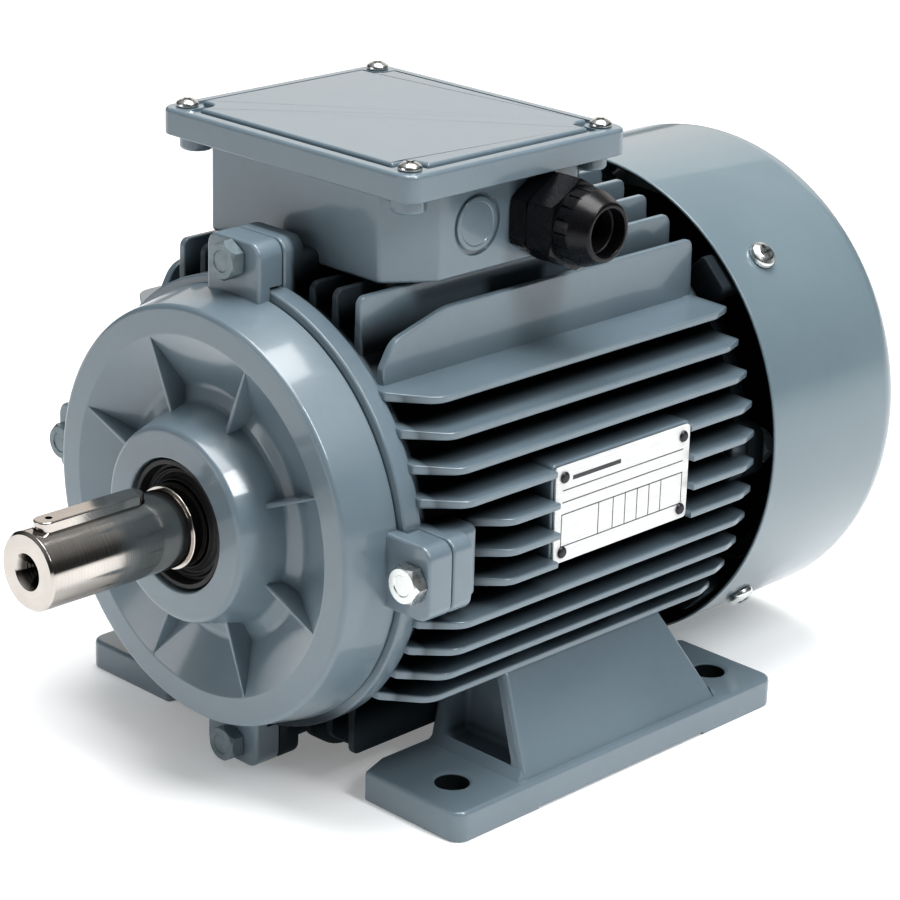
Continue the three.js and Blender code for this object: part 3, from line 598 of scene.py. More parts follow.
def brushed_plate(name):
    """Silver label stock, brushed along its length."""
    nodes = Nodes(name)
    stretch = nodes.add("Mapping", Vector=nodes.place, Scale=(1, 6, 260)).outputs["Vector"]
    strokes = nodes.noise(12, 4, 0.6, stretch)
    colour = nodes.ramp(strokes, (0.3, (0.64, 0.65, 0.65)), (0.7, (0.80, 0.80, 0.79)))
    nodes.bump(strokes, 0.08, 0.0001)
    return nodes.finish(Base_Color=colour, Metallic=0.1,
                        Roughness=nodes.spread(strokes, 0.3, 0.7, 0.3, 0.42))


PAINT_TONES = (0.158, 0.208, 0.242), (0.136, 0.181, 0.213)
# Shaded copies of the same enamel: each one darkens its colour with painted shade by place.
FIN_PAINT = paint_material("enamel_on_fins", *PAINT_TONES, shade_mask=between_fins)
FOOT_PAINT = paint_material("enamel_on_feet", *PAINT_TONES, shade_mask=round_foot_holes)
REAR_PAINT = paint_material("enamel_in_gap", *PAINT_TONES, shade_mask=in_shadow)
MATERIALS = {
    "paint": paint_material("enamel", *PAINT_TONES),
    "cover_paint": paint_material(
        "enamel_on_sheet", (0.168, 0.222, 0.250), (0.150, 0.202, 0.230), cast=0.0, rough=(0.30, 0.36),
        bump=0.03, coat=(0.6, 0.06), shade_mask=inside_cover),
    "shaft_steel": turned_metal(
        "turned_steel", (0.60, 0.565, 0.53), (0.42, 0.39, 0.36), (0.08, 0.16), 0.015),
    "bearing_steel": turned_metal(
        "ground_steel", (0.6, 0.6, 0.61), (0.5, 0.5, 0.51), (0.12, 0.22), 0.02),
    "zinc_steel": grained(
        "bright_zinc", (0.70, 0.72, 0.71), (0.56, 0.58, 0.57), (0.20, 0.32), 300, metallic=1.0,
        strength=0.05),
    "lamination": stacked("core_sheet", (0.14, 0.15, 0.16), (0.05, 0.055, 0.06)),
    "copper_winding": grained(
        "varnished_copper", (0.50, 0.19, 0.08), (0.30, 0.10, 0.04), (0.25, 0.45), 500, metallic=0.7,
        strength=0.4, coat=0.4),
    "cast_aluminium": grained(
        "bare_aluminium", (0.62, 0.64, 0.65), (0.45, 0.47, 0.48), (0.38, 0.55), 400, metallic=1.0,
        strength=0.3),
    "rubber": grained(
        "seal_rubber", (0.016, 0.016, 0.018), (0.008, 0.008, 0.009), (0.45, 0.62), 1100),
    "black_nylon": grained(
        "moulded_nylon", (0.006, 0.006, 0.008), (0.004, 0.004, 0.005), (0.26, 0.30), 500,
        strength=0.004, specular=0.3),
    "moulding": grained("thermoset", (0.065, 0.040, 0.028), (0.035, 0.022, 0.016), (0.35, 0.5), 800),
    "label_metal": brushed_plate("silver_label"),
}
INK = grained("engraved_ink", (0.05, 0.05, 0.055), (0.02, 0.02, 0.025), (0.4, 0.55), 900)
PAINTED_BOLT = grained("bolt_overspray", (0.20, 0.245, 0.265), (0.10, 0.135, 0.15), (0.28, 0.42), 260,
                       metallic=0.4, strength=0.1, coat=0.3)
DARK_RIVET = grained("blackened_rivet", (0.06, 0.06, 0.065), (0.03, 0.03, 0.035), (0.3, 0.45), 600, 0.8)
BRASS = grained("stud_brass", (0.62, 0.45, 0.18), (0.48, 0.33, 0.12), (0.2, 0.35), 700, 1.0)

BODY_OF = {n: body for body, nodes in frame["record"]["behaviour"]["bodies"].items() for n in nodes}
SLOT_OF = {row["node"]: row["material_slot"] for row in frame["record"]["subparts"]}
SHARP = math.radians(34)


def dress(made, material):
    """Smooth shading with true sharp edges, and flat faces kept flat."""
    made.data.materials.clear()
    made.data.materials.append(material)
    made.data.shade_smooth()
    made.data.set_sharp_from_angle(angle=SHARP)
    weighted = made.modifiers.new("flat_faces", "WEIGHTED_NORMAL")
    weighted.keep_sharp = True
    weighted.weight = 80


def show(node, solid, material=None, name=None, stands_for=True):
    """A finished piece in place of a CAD node or, with stands_for off, beside it."""
    bmesh.ops.dissolve_degenerate(solid, dist=1e-4, edges=solid.edges)
    made = as_object(moved(solid, TO_ROW), name or node + "_fine")
    dress(made, material or MATERIALS[SLOT_OF[node]])
    if stands_for:
        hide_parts(node)
    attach(made, BODY_OF[node])


# -------- fasteners
BOLT_HEAD_HEIGHT = 5.2


def hex_head():
    """Hexagon head from y = -height to 0, its corners cut by a cone, with a dished top."""
    height, radius = BOLT_HEAD_HEIGHT, BOLT_HEAD_R
    hexagon = prism(ngon(6, radius), -height, 0, "y", (0, 0))
    cone = turned([(0, -height), (radius * 0.84, -height), (radius + 0.3, -height * 0.62),
                   (radius + 0.3, 0.5), (0, 0.5)], 48)
    dish = turned([(0, -height - 1), (radius * 0.62, -height - 1), (radius * 0.5, -height + 0.35, 0.2),
                   (0, -height + 0.35)], 32)
    return cut(common(hexagon, cone), dish)


def hex_bolt(seat, end, radius=BOLT_R):
    """Bolt along +Y whose head lies on y = seat."""
    shank = turned(pin(radius, seat - 0.5, end, 0.4), 32)
    return join(shifted(hex_head(), y=seat), shank)


def pan_screw(head_r, height, length, shank_r=SCREW_SHANK_R):
    """Pan-head screw along +Y: the head stands in front of y = 0. Its top has a cross recess."""
    body = turned([(0, -height), (head_r * 0.55, -height, head_r * 0.3),
                   (head_r * 0.95, -height * 0.55, head_r * 0.3), (head_r, 0, 0.2),
                   (shank_r, 0), (shank_r, length, 0.3), (0, length)], 40, 5)
    reach, half = head_r * 0.55, head_r * 0.13
    arm = rect((-reach, reach), (-half, half))
    cross = prism(arm, -height - 1, -height * 0.45, "y", (0, 0))
    return cut(body, cross, about_y(cross, 90))


# -------- frame housing
def drafted(fin, axis, at, tip, root):
    """Thickens a fin from tip to root, along axis 2 if it lies flat and axis 0 if it is upright."""
    reach = 0 if axis == 2 else 2
    for vert in fin.verts:
        depth = (tip - abs(vert.co[reach])) / (tip - root)
        vert.co[axis] = at + (vert.co[axis] - at) * (1 + 0.5 * max(0.0, min(1.0, depth)))
    return fin


def side_fin(z, front, rear, swept_front=True, swept_rear=True):
    root = math.sqrt(BORE_R**2 - z**2) + 3
    tip = math.sqrt(FIN_TIP_R**2 - z**2)
    shoulder = root + (tip - root) * 0.38
    front_corners = [(shoulder, front, 2), (tip, front + 11, 9)] if swept_front else [(tip, front)]
    rear_corners = [(tip, rear - 9, 10), (tip - 3, rear, 1)] if swept_rear else [(tip, rear)]
    corners = [(root, front), *front_corners, *rear_corners, (root, rear)]
    fin = prism(corners, z - FIN_HALF, z + FIN_HALF, "z", (0.6, 0.6))
    return drafted(fin, 2, z, tip, root)


def upright_fin(x, front, rear, crest):
    root = math.sqrt(BORE_R**2 - x**2) + 3
    nose = [(front, crest, 3)]
    if abs(x) > 50:
        nose = [(front, crest - 16, 3), (front + 5, crest - 7, 9), (front + 30, crest, 30)]
    elif crest > 86:
        nose = [(front, crest - 9, 6), (front + 13, crest, 18)]
    corners = [(front, root), *nose, (rear, crest, 3), (rear, root)]
    fin = prism(corners, x - FIN_HALF, x + FIN_HALF, "x", (0.6, 0.6))
    return drafted(fin, 0, x, crest, root)


NECK_X, NECK_Y, NECK_TOP = 40, (68, 142), 85
SEAT_Y = (PLATE_Y[0] - 1, PLATE_Y[1] + 1)
SEAT_Z = (PLATE_Z[0] - 1, PLATE_Z[1] + 1)
SIDE_FINS = (42, 206)
TOP_FINS = (46, 205)
TOP_FIN_PITCH = 11.4
BEHIND_LUG = 62
BEHIND_NECK, BEHIND_BOX = 155, 158
FIN_COUNT = 5


def side_fins():
    fins = []
    for k in range(-FIN_COUNT, FIN_COUNT + 1):
        z = k * FIN_PITCH
        front = BEHIND_LUG if abs(z) <= LUG_HALF else SIDE_FINS[0]
        whole = side_fin(z, front, SIDE_FINS[1])
        fins.append(mirrored(whole, "x"))
        if SEAT_Z[0] < z < SEAT_Z[1]:
            fins.append(side_fin(z, front, SEAT_Y[0] + 1, True, False))
            fins.append(side_fin(z, SEAT_Y[1] - 1, SIDE_FINS[1], False, True))
        else:
            fins.append(whole)
    return fins


def upright_fins():
    fins = []
    for k in range(-FIN_COUNT, FIN_COUNT + 1):
        x = k * TOP_FIN_PITCH
        crest = math.sqrt((FIN_TIP_R + 1) ** 2 - x**2)
        front = BEHIND_LUG if abs(x) <= LUG_HALF else TOP_FINS[0]
        if abs(k) == FIN_COUNT:
            fins.append(upright_fin(x, front, TOP_FINS[1], crest))
            continue
        fins.append(mirrored(upright_fin(x, front, TOP_FINS[1], crest), "z"))
        neck_front, neck_rear = BEHIND_NECK + 1, BEHIND_NECK
        if abs(x) < NECK_X:
            neck_front, neck_rear = NECK_Y[0] + 2, NECK_Y[1] - 2
        fins.append(upright_fin(x, front, neck_front, min(crest, NECK_TOP)))
        fins.append(upright_fin(x, neck_rear, TOP_FINS[1], min(crest, NECK_TOP)))
        fins.append(upright_fin(x, BEHIND_BOX, TOP_FINS[1] - 0.5, crest))
    return fins


def lug(low, high, root, reach=LUG_REACH, half=LUG_HALF, ease=(1.0, 1.0)):
    corners = [(root, -half), (reach, -half, 5), (reach, half, 5), (root, half)]
    return prism(corners, low, high, "y", ease)


def housing():
    shell = turned([(BORE_R, HOUSING_FRONT), (FLANGE_R, HOUSING_FRONT, 0.9), (FLANGE_R, 43, 1.2),
                    (HOUSING_R, 45, 2), (HOUSING_R, 199, 2), (HOUSING_R + 2, 201, 1),
                    (HOUSING_R + 2, HOUSING_REAR, 0.8), (BORE_R, HOUSING_REAR)], 128)
    front_lugs = around(lug(41.7, 51, 77), QUARTERS)
    lug_root = prism([(70, -LUG_HALF), (92, -LUG_HALF, 3), (92, LUG_HALF, 3), (70, LUG_HALF)], 49, 60,
                     "y", (0, 2.5))
    rear_lugs = around(lug(199, HOUSING_REAR, 77, REAR_LUG_REACH, REAR_LUG_HALF), QUARTERS)
    neck = block((-NECK_X, NECK_X), NECK_Y, (60, NECK_TOP), 1, 4)
    seat = prism(rect(SEAT_Y, SEAT_Z, 2), 78, PLATE_X[0] - GAP, "x", (0, 0.8))
    bosses = [block((side * FOOT_BOLT_X - 6, side * FOOT_BOLT_X + 6), (y - 7, y + 7), (-FOOT_TOP, -40))
              for side, y in product(MIRROR, FOOT_BOLT_Y)]
    body = join(shell, side_fins(), upright_fins(), front_lugs, around(lug_root, QUARTERS),
                rear_lugs, neck, seat, bosses)
    tools = [turned(pin(BORE_R, 20, 230), 128), block(WINDOW_X, WINDOW_Y, (50, 100), 0, 4)]
    tools += drills_along_shaft(BOLT_HOLE_R, 38, 54, LUG_R)
    tools += drills_along_shaft(BOLT_R - 0.6, 195, 210, REAR_BOLT_R)
    for side in MIRROR:
        tools.append(drill(SCREW_HOLE_R, 12, "z", (side * BOX_SCREW_X, BOX_SCREW_Y, 78)))
        tools += [drill(BOLT_HOLE_R, 13, "z", (side * FOOT_BOLT_X, y, -60)) for y in FOOT_BOLT_Y]
    tools += [drill(1.2 + GAP, 7, "x", (PLATE_X[0] - 5, y, z), 16) for y, z in product(RIVET_Y, RIVET_Z)]
    return cut(body, tools)


RIVET_Y = (PLATE_Y[0] + RIVET_INSET, PLATE_Y[1] - RIVET_INSET)
RIVET_Z = (PLATE_Z[0] + RIVET_INSET, PLATE_Z[1] - RIVET_INSET)
show("frame_housing", housing(), FIN_PAINT)


# -------- feet
def foot():
    low, high = motor_box("foot_right")
    pad = prism([(PAD_INNER_X, low.y, 2), (high.x, low.y, 5.5), (high.x, high.y, 5.5),
                 (PAD_INNER_X, high.y, 2), (50, high.y - 12, 2), (50, low.y + 12, 2)],
                FOOT_UNDER, PAD_TOP, "z", (0.8, 1.6))
    pedestal = hull([(x, y, PAD_TOP - 3) for x in (50, 99.5) for y in (81, 187)]
                    + [(x, y, z) for x, z in ((50, -50), (78.5, -55.5)) for y in (90, 173)], 1.6, 3)
    recess = [(55, PAD_TOP + 0.5, 3), (92, PAD_TOP + 0.5, 3), (74.5, -56, 4), (55, -56, 3)]
    ends = [prism(recess, 60, 96, "y", (0, 2.0)), prism(recess, 170, 200, "y", (2.0, 0))]
    fillets = []
    for end, wall in ((77, 82.5), (191, 185.5)):
        root = [(x, y, PAD_TOP - 1) for y in (end, wall) for x in (52, 98)]
        fillets.append(hull(root + [(52, wall, PAD_TOP + 3), (95, wall, PAD_TOP + 3)], 0))
    body = join(pad, cut(pedestal, ends), fillets)
    tools = [turned(pin(HOUSING_R + GAP, 30, 230), 96),
             block((40, 110), (86, 176), (FOOT_UNDER - 1, FOOT_UNDER + 1.2), 0, 0),
             block((40, 78), (70, 200), (-FOOT_TOP - GAP, -20), 0, 0)]
    top = PAD_TOP - FOOT_UNDER
    hole = turned([(0, -10), (FOOT_HOLE_R, -10), (FOOT_HOLE_R, top - 1.2), (FOOT_HOLE_R + 2, top + 0.1),
                   (FOOT_HOLE_R + 2, 20), (0, 20)], 48)
    tools += [pointing(hole, "z", (FOOT_HOLE_X, y, FOOT_UNDER)) for y in FOOT_HOLE_Y]
    for y in FOOT_BOLT_Y:
        tools.append(drill(9.5, 39, "z", (FOOT_BOLT_X, y, FOOT_UNDER - 5), 32))
        tools.append(drill(BOLT_HOLE_R, 30, "z", (FOOT_BOLT_X, y, -70), 24))
    return cut(body, tools)


right_foot = foot()
show("foot_right", right_foot, FOOT_PAINT)
show("foot_left", mirrored(right_foot, "x"), FOOT_PAINT)
for i, (side, y) in enumerate(product(MIRROR, FOOT_BOLT_Y), 1):
    show(f"foot_bolt_{i}", pointing(hex_bolt(-66 - GAP, -49), "z", (side * FOOT_BOLT_X, y, 0)))


# -------- drive end shield
def gusset():
    """A thin web across the dished face, level with the rim."""
    corners = ((38, 14.4, 0.9), (38, 27, 1.5), (65.5, FACE_Y + 0.1, 0.4), (65.5, 18, 0.9))
    return hull([(r, y, side * half) for side in MIRROR for r, y, half in corners], 0.4, 2)


def drive_shield():
    bore = BORE_R - 2 * GAP
    seat = BEARING_OUTER_R + 2 * GAP
    shell = turned([(24, 3, 0.9), (35.0, 3, 2.4), (40.1, 20.8, 2.5), (46, 22.8, 4), (65.5, FACE_Y, 2.0),
                    (75.8, FACE_Y, 2.2), (79.6, 34.9, 0.6), (bore, 34.9), (bore, 39, 0.5),
                    (68, 24, 3), (50, 31, 3), (38, 32.5, 2), (seat, 32.5), (seat, 14), (18, 14),
                    (18, 12), (24, 12)], 160, 6)
    ribs = around(gusset(), [22.5 + 45 * k for k in range(8)])
    lug_face = lug(LUG_FACE, 35.2, 72, ease=(1.2, 0))
    lug_back = lug(34.2, 41.2, FLANGE_R + GAP, ease=(0, 0.8))
    lugs = [part for piece in (lug_face, lug_back) for part in around(piece, QUARTERS)]
    return cut(join(shell, ribs, lugs), drills_along_shaft(BOLT_HOLE_R, 20, 50, LUG_R))


show("drive_end_shield", drive_shield())
for i, angle in enumerate(QUARTERS):
    bolt = about_y(shifted(hex_bolt(LUG_FACE - GAP, 50.5), x=LUG_R), angle)
    show(f"drive_end_bolt_{i + 1}", bolt, PAINTED_BOLT if angle else None)
show("drive_end_seal", turned([(15.6, 5.4, 0.2), (16.6, 7.2, 0.3), (18.2, 8.8, 0.4), (19, 7.2, 0.4),
                               (19.8, 8.8, 0.4), (20.9, 8.8, 0.4), (21.4, 4.6, 0.4),
                               (23.4, 4.6, 0.5), (23.4, 11.6), (15.6, 11.6)], 96))


# -------- rear end shield
def rear_shield():
    front, bearing = HOUSING_REAR + GAP, BEARING_OUTER_R + 0.6
    shell = turned([(20, 226), (bearing, 226), (bearing, 203), (38, 203), (40, 214, 3), (70, 214, 3),
                    (BORE_R - 0.6, 204), (BORE_R - 0.6, front), (HOUSING_R, front, 0.5),
                    (HOUSING_R, REAR_SEAT, 2), (40, 221, 3), (38, 230, 1), (20, 230, 0.5)], 96)
    bolt_lugs = around(lug(front, REAR_SEAT, 74, REAR_LUG_REACH, REAR_LUG_HALF), QUARTERS)
    arm = prism(rect((74, 94), (-8, 8), 2), front, REAR_SEAT - 1, "y", (0.8, 0.8))
    post = prism(rect((85, 94), (-8, 8), 2), REAR_SEAT - 3, 241, "y", (0.8, 0.8))
    cover_lugs = [part for piece in (arm, post) for part in around(piece, DIAGONALS)]
    holes = drills_along_shaft(BOLT_R, 200, 230, REAR_BOLT_R)
    screw_hole = drill(SCREW_HOLE_R, 16, "x", (84, COVER_SCREW_Y, 0), 16)
    return cut(join(shell, bolt_lugs, cover_lugs), holes, around(screw_hole, DIAGONALS))


show("rear_end_shield", rear_shield(), REAR_PAINT)
for i, angle in enumerate(QUARTERS):
    bolt = shifted(pointing(hex_bolt(0, 15, BOLT_R - 1.2), "-y"), x=REAR_BOLT_R, y=REAR_SEAT + 2 * GAP)
    show(f"rear_end_bolt_{i + 1}", about_y(bolt, angle), PAINTED_BOLT)


# -------- rotor
KEY_Y = (-56, -11)
KEY_HALF = 4
KEY_Z = (10, 17)


def key_blank(grow, low, high, ease):
    half = KEY_HALF + grow
    outline = rect((-half, half), (KEY_Y[0] - grow, KEY_Y[1] + grow), half)
    return prism(outline, low, high, "z", ease, arc_steps=10)


def shaft():
    tip = -SHAFT_LENGTH
    body = turned([(0, tip), (SHAFT_R - 1, tip, 0.3), (SHAFT_R, tip + 1, 0.3), (SHAFT_R, 0),
                   (BEARING_BORE_R, 0, 0.4), (BEARING_BORE_R, 30.6), (18, 30.6), (18, 206),
                   (BEARING_BORE_R, 206), (BEARING_BORE_R, 224), (SHAFT_R, 224), (SHAFT_R, 235.5),
                   (12, 235.5), (12, 262.6), (10.8, 262.6), (10.8, 264.6), (12, 264.6), (12, 267),
                   (11, 268), (0, 268)], 128)
    thread = [(4.3 + (0.5 if k % 2 else 0), tip + 3.4 + 0.75 * k) for k in range(24)]
    centre_hole = turned([(0, tip - 1), (7.2, tip - 1), (6.2, tip + 0.6), (4.9, tip + 2.6), *thread,
                          (0, tip + 24)], 48)
    return cut(body, key_blank(GAP, KEY_Z[0] - GAP, 20, (0, 0)), centre_hole)


show("shaft", shaft())
key_hole = pointing(turned(pin(1.3, -4, 4), 24), "z", (0, KEY_Y[0] + 5.5, KEY_Z[1]))
show("shaft_key", cut(key_blank(0, *KEY_Z, (0.3, 0.6)), key_hole))


def fan():
    hub = turned(tube(12.6, 20, 236, 262, 1), 64)
    plate = turned([(18, 239, 0.8), (80, 239, 1.1), (80, 241.5, 1.1), (18, 241.5)], 96)
    blade = prism([(19, 240.5), (78.5, 240.5), (78.5, 267, 5), (19, 260, 3)], -1.2, 1.2, "z", (0.5, 0.5))
    return join(hub, plate, around(blade, [60 * k for k in range(6)]))


show("cooling_fan", fan())
circlip_ring = turned(tube(11.3, 14.6, 262.9, 264.3, 0.3), 48)
show("fan_circlip", cut(circlip_ring, block((0, 20), (260, 268), (-2.5, 2.5), 0, 0)))
show("rear_v_ring_seal", turned([(SHAFT_R + GAP, 230.5, 0.3), (19.5, 230.5, 0.4), (17.2, 232.6, 0.5),
                                 (19, 234.8, 0.3), (SHAFT_R + GAP, 234.8, 0.3)], 64))


# -------- fan cover
GRILLE_RINGS, GRILLE_SPOKES = 7, 6
GRILLE_START, RING_PITCH, SLOT_WIDTH, SPOKE_HALF = 14, 8.2, 5, 3.2


def arc_slot(inner, outer, start, end):
    """One slot of the grille, from angle start to end."""
    steps = max(4, int((end - start) * outer / 5))
    angles = [start + (end - start) * i / steps for i in range(steps + 1)]
    rim = [(outer * math.cos(a), outer * math.sin(a)) for a in angles]
    heel = [(inner * math.cos(a), inner * math.sin(a)) for a in reversed(angles)]
    return prism([*rim, *heel], COVER_END - 5, COVER_END + 3, "y", (0, 0))


def fan_cover():
    inside, end_inside = COVER_R - COVER_WALL, COVER_END - COVER_WALL
    shell = turned([(COVER_R, COVER_FRONT, 0.6), (COVER_R, COVER_END, 14), (0, COVER_END),
                    (0, end_inside), (inside, end_inside, 12.5), (inside, COVER_FRONT, 0.6)], 160, 12)
    slots = []
    for ring in range(GRILLE_RINGS):
        inner = GRILLE_START + RING_PITCH * ring
        gap = SPOKE_HALF / (inner + 2)
        for i in range(GRILLE_SPOKES):
            slots.append(arc_slot(inner, inner + SLOT_WIDTH, i * TURN / GRILLE_SPOKES + gap,
                                  (i + 1) * TURN / GRILLE_SPOKES - gap))
    screw_hole = drill(SCREW_HOLE_R, 10, "x", (90, COVER_SCREW_Y, 0), 16)
    return cut(shell, together(slots), around(screw_hole, DIAGONALS))


show("fan_cover", fan_cover())
for i, angle in enumerate(DIAGONALS):
    screw = pointing(pan_screw(5.6, 3.3, 12), "-x", (COVER_R + GAP, COVER_SCREW_Y, 0))
    show(f"fan_cover_screw_{i + 1}", about_y(screw, angle))


# -------- terminal box
BOSS_R, BOSS_X, BOSS_INWARD = 6.2, 54.2, 2.2
KNOCK_OUT_R = 9.7
PANEL_MARGIN, SCREW_PAD, SCREW_PAD_BEND = 6, 8.5, 4
LID_WALL = 2.8


def box_corners(depth, corner):
    """Outline of the box with its cut corners, moved inwards by depth."""
    x, y0, y1 = BOX_X - depth, BOX_Y[0] + depth, BOX_Y[1] - depth
    front_x, front_y, rear_x, rear_y = [size - depth * 0.35 for size in (12, 17, 7, 9)]
    half = [(x - front_x, y0, corner), (x, y0 + front_y, corner), (x, y1 - rear_y, corner),
            (x - rear_x, y1, corner)]
    mirror_image = [(-x, y, corner) for x, y, corner in reversed(half)]
    return [mirror_image[-1], *half, *mirror_image[:-1]]


def box_base():
    outside = prism(box_corners(0, 2), BOX_FLOOR, BOX_RIM, "z", (1.4, 0))
    rim = prism(rect((-60.5, 60.5), (54.5, 156.5), 5), BOX_RIM - 3.5, BOX_RIM, "z", (0.8, 0.4))
    bosses = []
    holes = []
    for side in MIRROR:
        for y in LID_SCREW_Y:
            inward = BOSS_INWARD if y < BOX_SCREW_Y else -BOSS_INWARD
            post = turned(pin(BOSS_R, 0, 9, 1.4), 40)
            bosses.append(pointing(post, "z", (side * BOSS_X, y + inward, BOX_RIM - 10)))
            holes.append(drill(SCREW_HOLE_R, 10, "z", (side * LID_SCREW_X, y, 116.5)))
        holes.append(drill(SCREW_HOLE_R, 20, "z", (side * BOX_SCREW_X, BOX_SCREW_Y, 80)))
    disc = turned([(0, 0), (KNOCK_OUT_R, 0), (KNOCK_OUT_R, 2.3, 0.6), (8, 2.3, 0.3), (7.2, 1.7, 0.3),
                   (0, 1.7)], 64)
    disc = pointing(disc, "x", (BOX_X - 2.0, *KNOCK_OUT))
    groove = turned(tube(KNOCK_OUT_R, KNOCK_OUT_R + 1.5, 0, 3, 0), 64)
    groove = pointing(groove, "x", (BOX_X - 1.0, *KNOCK_OUT))
    inside = prism(box_corners(3.5, 2), BOX_INSIDE, BOX_RIM + 5, "z", (1, 0))
    window = block(WINDOW_X, WINDOW_Y, (80, 100), 0, 3)
    gland_hole = drill(10.3, 20, "x", (40, GLAND_Y, GLAND_Z), 48)
    walls = cut(join(outside, rim, bosses), inside, groove)
    return cut(join(walls, disc), holes, window, gland_hole)


def panel_outline(out):
    """Outline of the lid's raised panel, kept clear of the screw pads; out makes it larger."""
    margin = PANEL_MARGIN - out
    x0, x1 = lid_low.x + margin, lid_high.x - margin
    y0, y1 = lid_low.y + margin, lid_high.y - margin
    c, r = SCREW_PAD, SCREW_PAD_BEND
    return [(x0 + c, y0, 1), (x1 - c, y0, 1), (x1 - c, y0 + c, r), (x1, y0 + c, 1),
            (x1, y1 - c, 1), (x1 - c, y1 - c, r), (x1 - c, y1, 1), (x0 + c, y1, 1),
            (x0 + c, y1 - c, r), (x0, y1 - c, 1), (x0, y0 + c, 1), (x0 + c, y0 + c, r)]


def box_lid():
    xs, ys = (lid_low.x, lid_high.x), (lid_low.y, lid_high.y)
    slab = prism(rect(xs, ys, 6), lid_low.z, LID_RIM, "z", (0.5, 1.5), 4, 8)
    groove = prism(panel_outline(1.8), LID_RIM - 1.4, LID_TOP + 2, "z", (0.5, 0))
    panel = prism(panel_outline(-0.5), LID_RIM - 2, LID_TOP, "z", (0, 1.2))
    hollow = [(low + LID_WALL, high - LID_WALL) for low, high in (xs, ys)]
    tray = prism(rect(*hollow, 3), lid_low.z - 1, 126, "z", (0, 0.8))
    holes = [drill(SCREW_HOLE_R, 30, "z", (side * LID_SCREW_X, y, 110))
             for side, y in product(MIRROR, LID_SCREW_Y)]
    return cut(join(cut(slab, groove), panel), tray, holes)


show("terminal_box_base", box_base())
show("terminal_box_lid", box_lid())
gasket_hole = prism(rect((-27, 27), (79, 131), 3), 80, 90, "z", (0, 0))
screw_holes = [drill(SCREW_HOLE_R, 10, "z", (side * BOX_SCREW_X, BOX_SCREW_Y, 80), 16)
               for side in MIRROR]
gasket = block((-38, 38), (70, 140), (NECK_TOP + GAP, BOX_FLOOR - GAP), 0.2, 4)
show("box_gasket", cut(gasket, gasket_hole, screw_holes))
seal_outside = prism(box_corners(0.4, 2), BOX_RIM + GAP, 125.7, "z", (0.4, 0.4))
show("lid_gasket", cut(seal_outside, prism(box_corners(3.2, 2), BOX_RIM - 1, 127, "z", (0, 0))))
for i, side in enumerate(MIRROR):
    at = (side * BOX_SCREW_X, BOX_SCREW_Y, BOX_INSIDE + GAP)
    show(f"box_screw_{i + 1}", pointing(pan_screw(4.2, 3, 11), "-z", at))
for i, (side, y) in enumerate(product(MIRROR, LID_SCREW_Y), 1):
    at = (side * LID_SCREW_X, y, LID_RIM + GAP)
    show(f"lid_screw_{i}", pointing(pan_screw(4.2, 2.4, 12), "-z", at))

STUD_X, STUD_Y = (-16, 0, 16), (94, 116)


def terminal_board():
    base = block((-24, 24), (84, 126), (93, 99), 0.6, 3)
    feet = [block((side * 20 - 8, side * 20 + 8), (70, 84.5), (BOX_INSIDE + GAP, 97), 0.5, 2)
            for side in MIRROR]
    bridge = block((-28, 28), (72, 80), (93, 97), 0.5, 2)
    ribs = [block((x - 0.8, x + 0.8), (86, 124), (98, 103), 0.3, 0.5) for x in (-8, 8)]
    return join(base, feet, bridge, ribs)


def studs():
    rows = []
    for x, y in product(STUD_X, STUD_Y):
        rod = pointing(turned(pin(2.5, 0, 11.4, 0.4), 24), "z", (x, y, 98.5))
        nut = prism(ngon(6, 4.6, (x, y), 0.3), 102.4, 105.6, "z", (0.4, 0.4))
        rows.append(join(rod, nut))
    links = [block((x - 3, x + 3), (91, 119), (100.9, 102.4), 0.2, 2.5) for x in STUD_X]
    return join(rows[0], rows[1:], links)


show("terminal_board", terminal_board())
show("terminal_board", studs(), BRASS, "terminal_studs", stands_for=False)
show("earth_screw", pointing(pan_screw(5, 3.4, 0.4, 2.4), "-z", (-40, 128, BOX_INSIDE + 0.8)))


# -------- cable gland
def hex_nut(low, high, radius):
    """Hexagon along X round the gland axis with turned chamfers at both ends."""
    chamfer = 1.6
    hexagon = prism(ngon(6, radius, (0, 0), math.pi / 6, 0.8), low, high, "x", (0, 0))
    limit = turned([(0, low), (radius - chamfer, low), (radius + 0.2, low + chamfer * 0.6),
                    (radius + 0.2, high - chamfer * 0.6), (radius - chamfer, high), (0, high)], 64)
    return shifted(common(hexagon, pointing(limit, "x")), y=GLAND_Y, z=GLAND_Z)


def along_gland(corners, segments=64):
    return pointing(turned(corners, segments), "x", (0, GLAND_Y, GLAND_Z))


def gland_cap():
    dome = along_gland([(8.6, 88.5, 0.4), (10.4, 88.5, 1.4), (13.6, 81, 4), (14.0, 74, 0.5),
                        (8, 74)], 96)
    bore = along_gland([(0, 60), (13.1, 60), (13.1, 74.3), (11.6, 74.3), (11.6, 83.5),
                        (GLAND_BORE_R, 83.5), (GLAND_BORE_R, 87), (9.0, 89), (0, 89)])
    grip = shifted(prism(ngon(4, 0.9, (14.2, 0)), 76, 86, "y", (0, 0)))
    grips = [moved(pointing(grip, "x"), Matrix.Rotation(TURN * k / 18, 4, "X")) for k in range(18)]
    grips = [shifted(groove, y=GLAND_Y, z=GLAND_Z) for groove in grips]
    return cut(join(hex_nut(63.3, 75.2, 16.6), dome), bore, grips)


def gland_body():
    thread = along_gland(tube(GLAND_BORE_R, 9.7, 44, 60, 0.3), 48)
    neck = along_gland(tube(GLAND_BORE_R, 12.6, 60, 74, 0.3), 48)
    bore = along_gland(pin(GLAND_BORE_R, 20, 110), 48)
    return join(cut(hex_nut(BOX_X + GAP, 63, 16.5), bore), thread, neck)


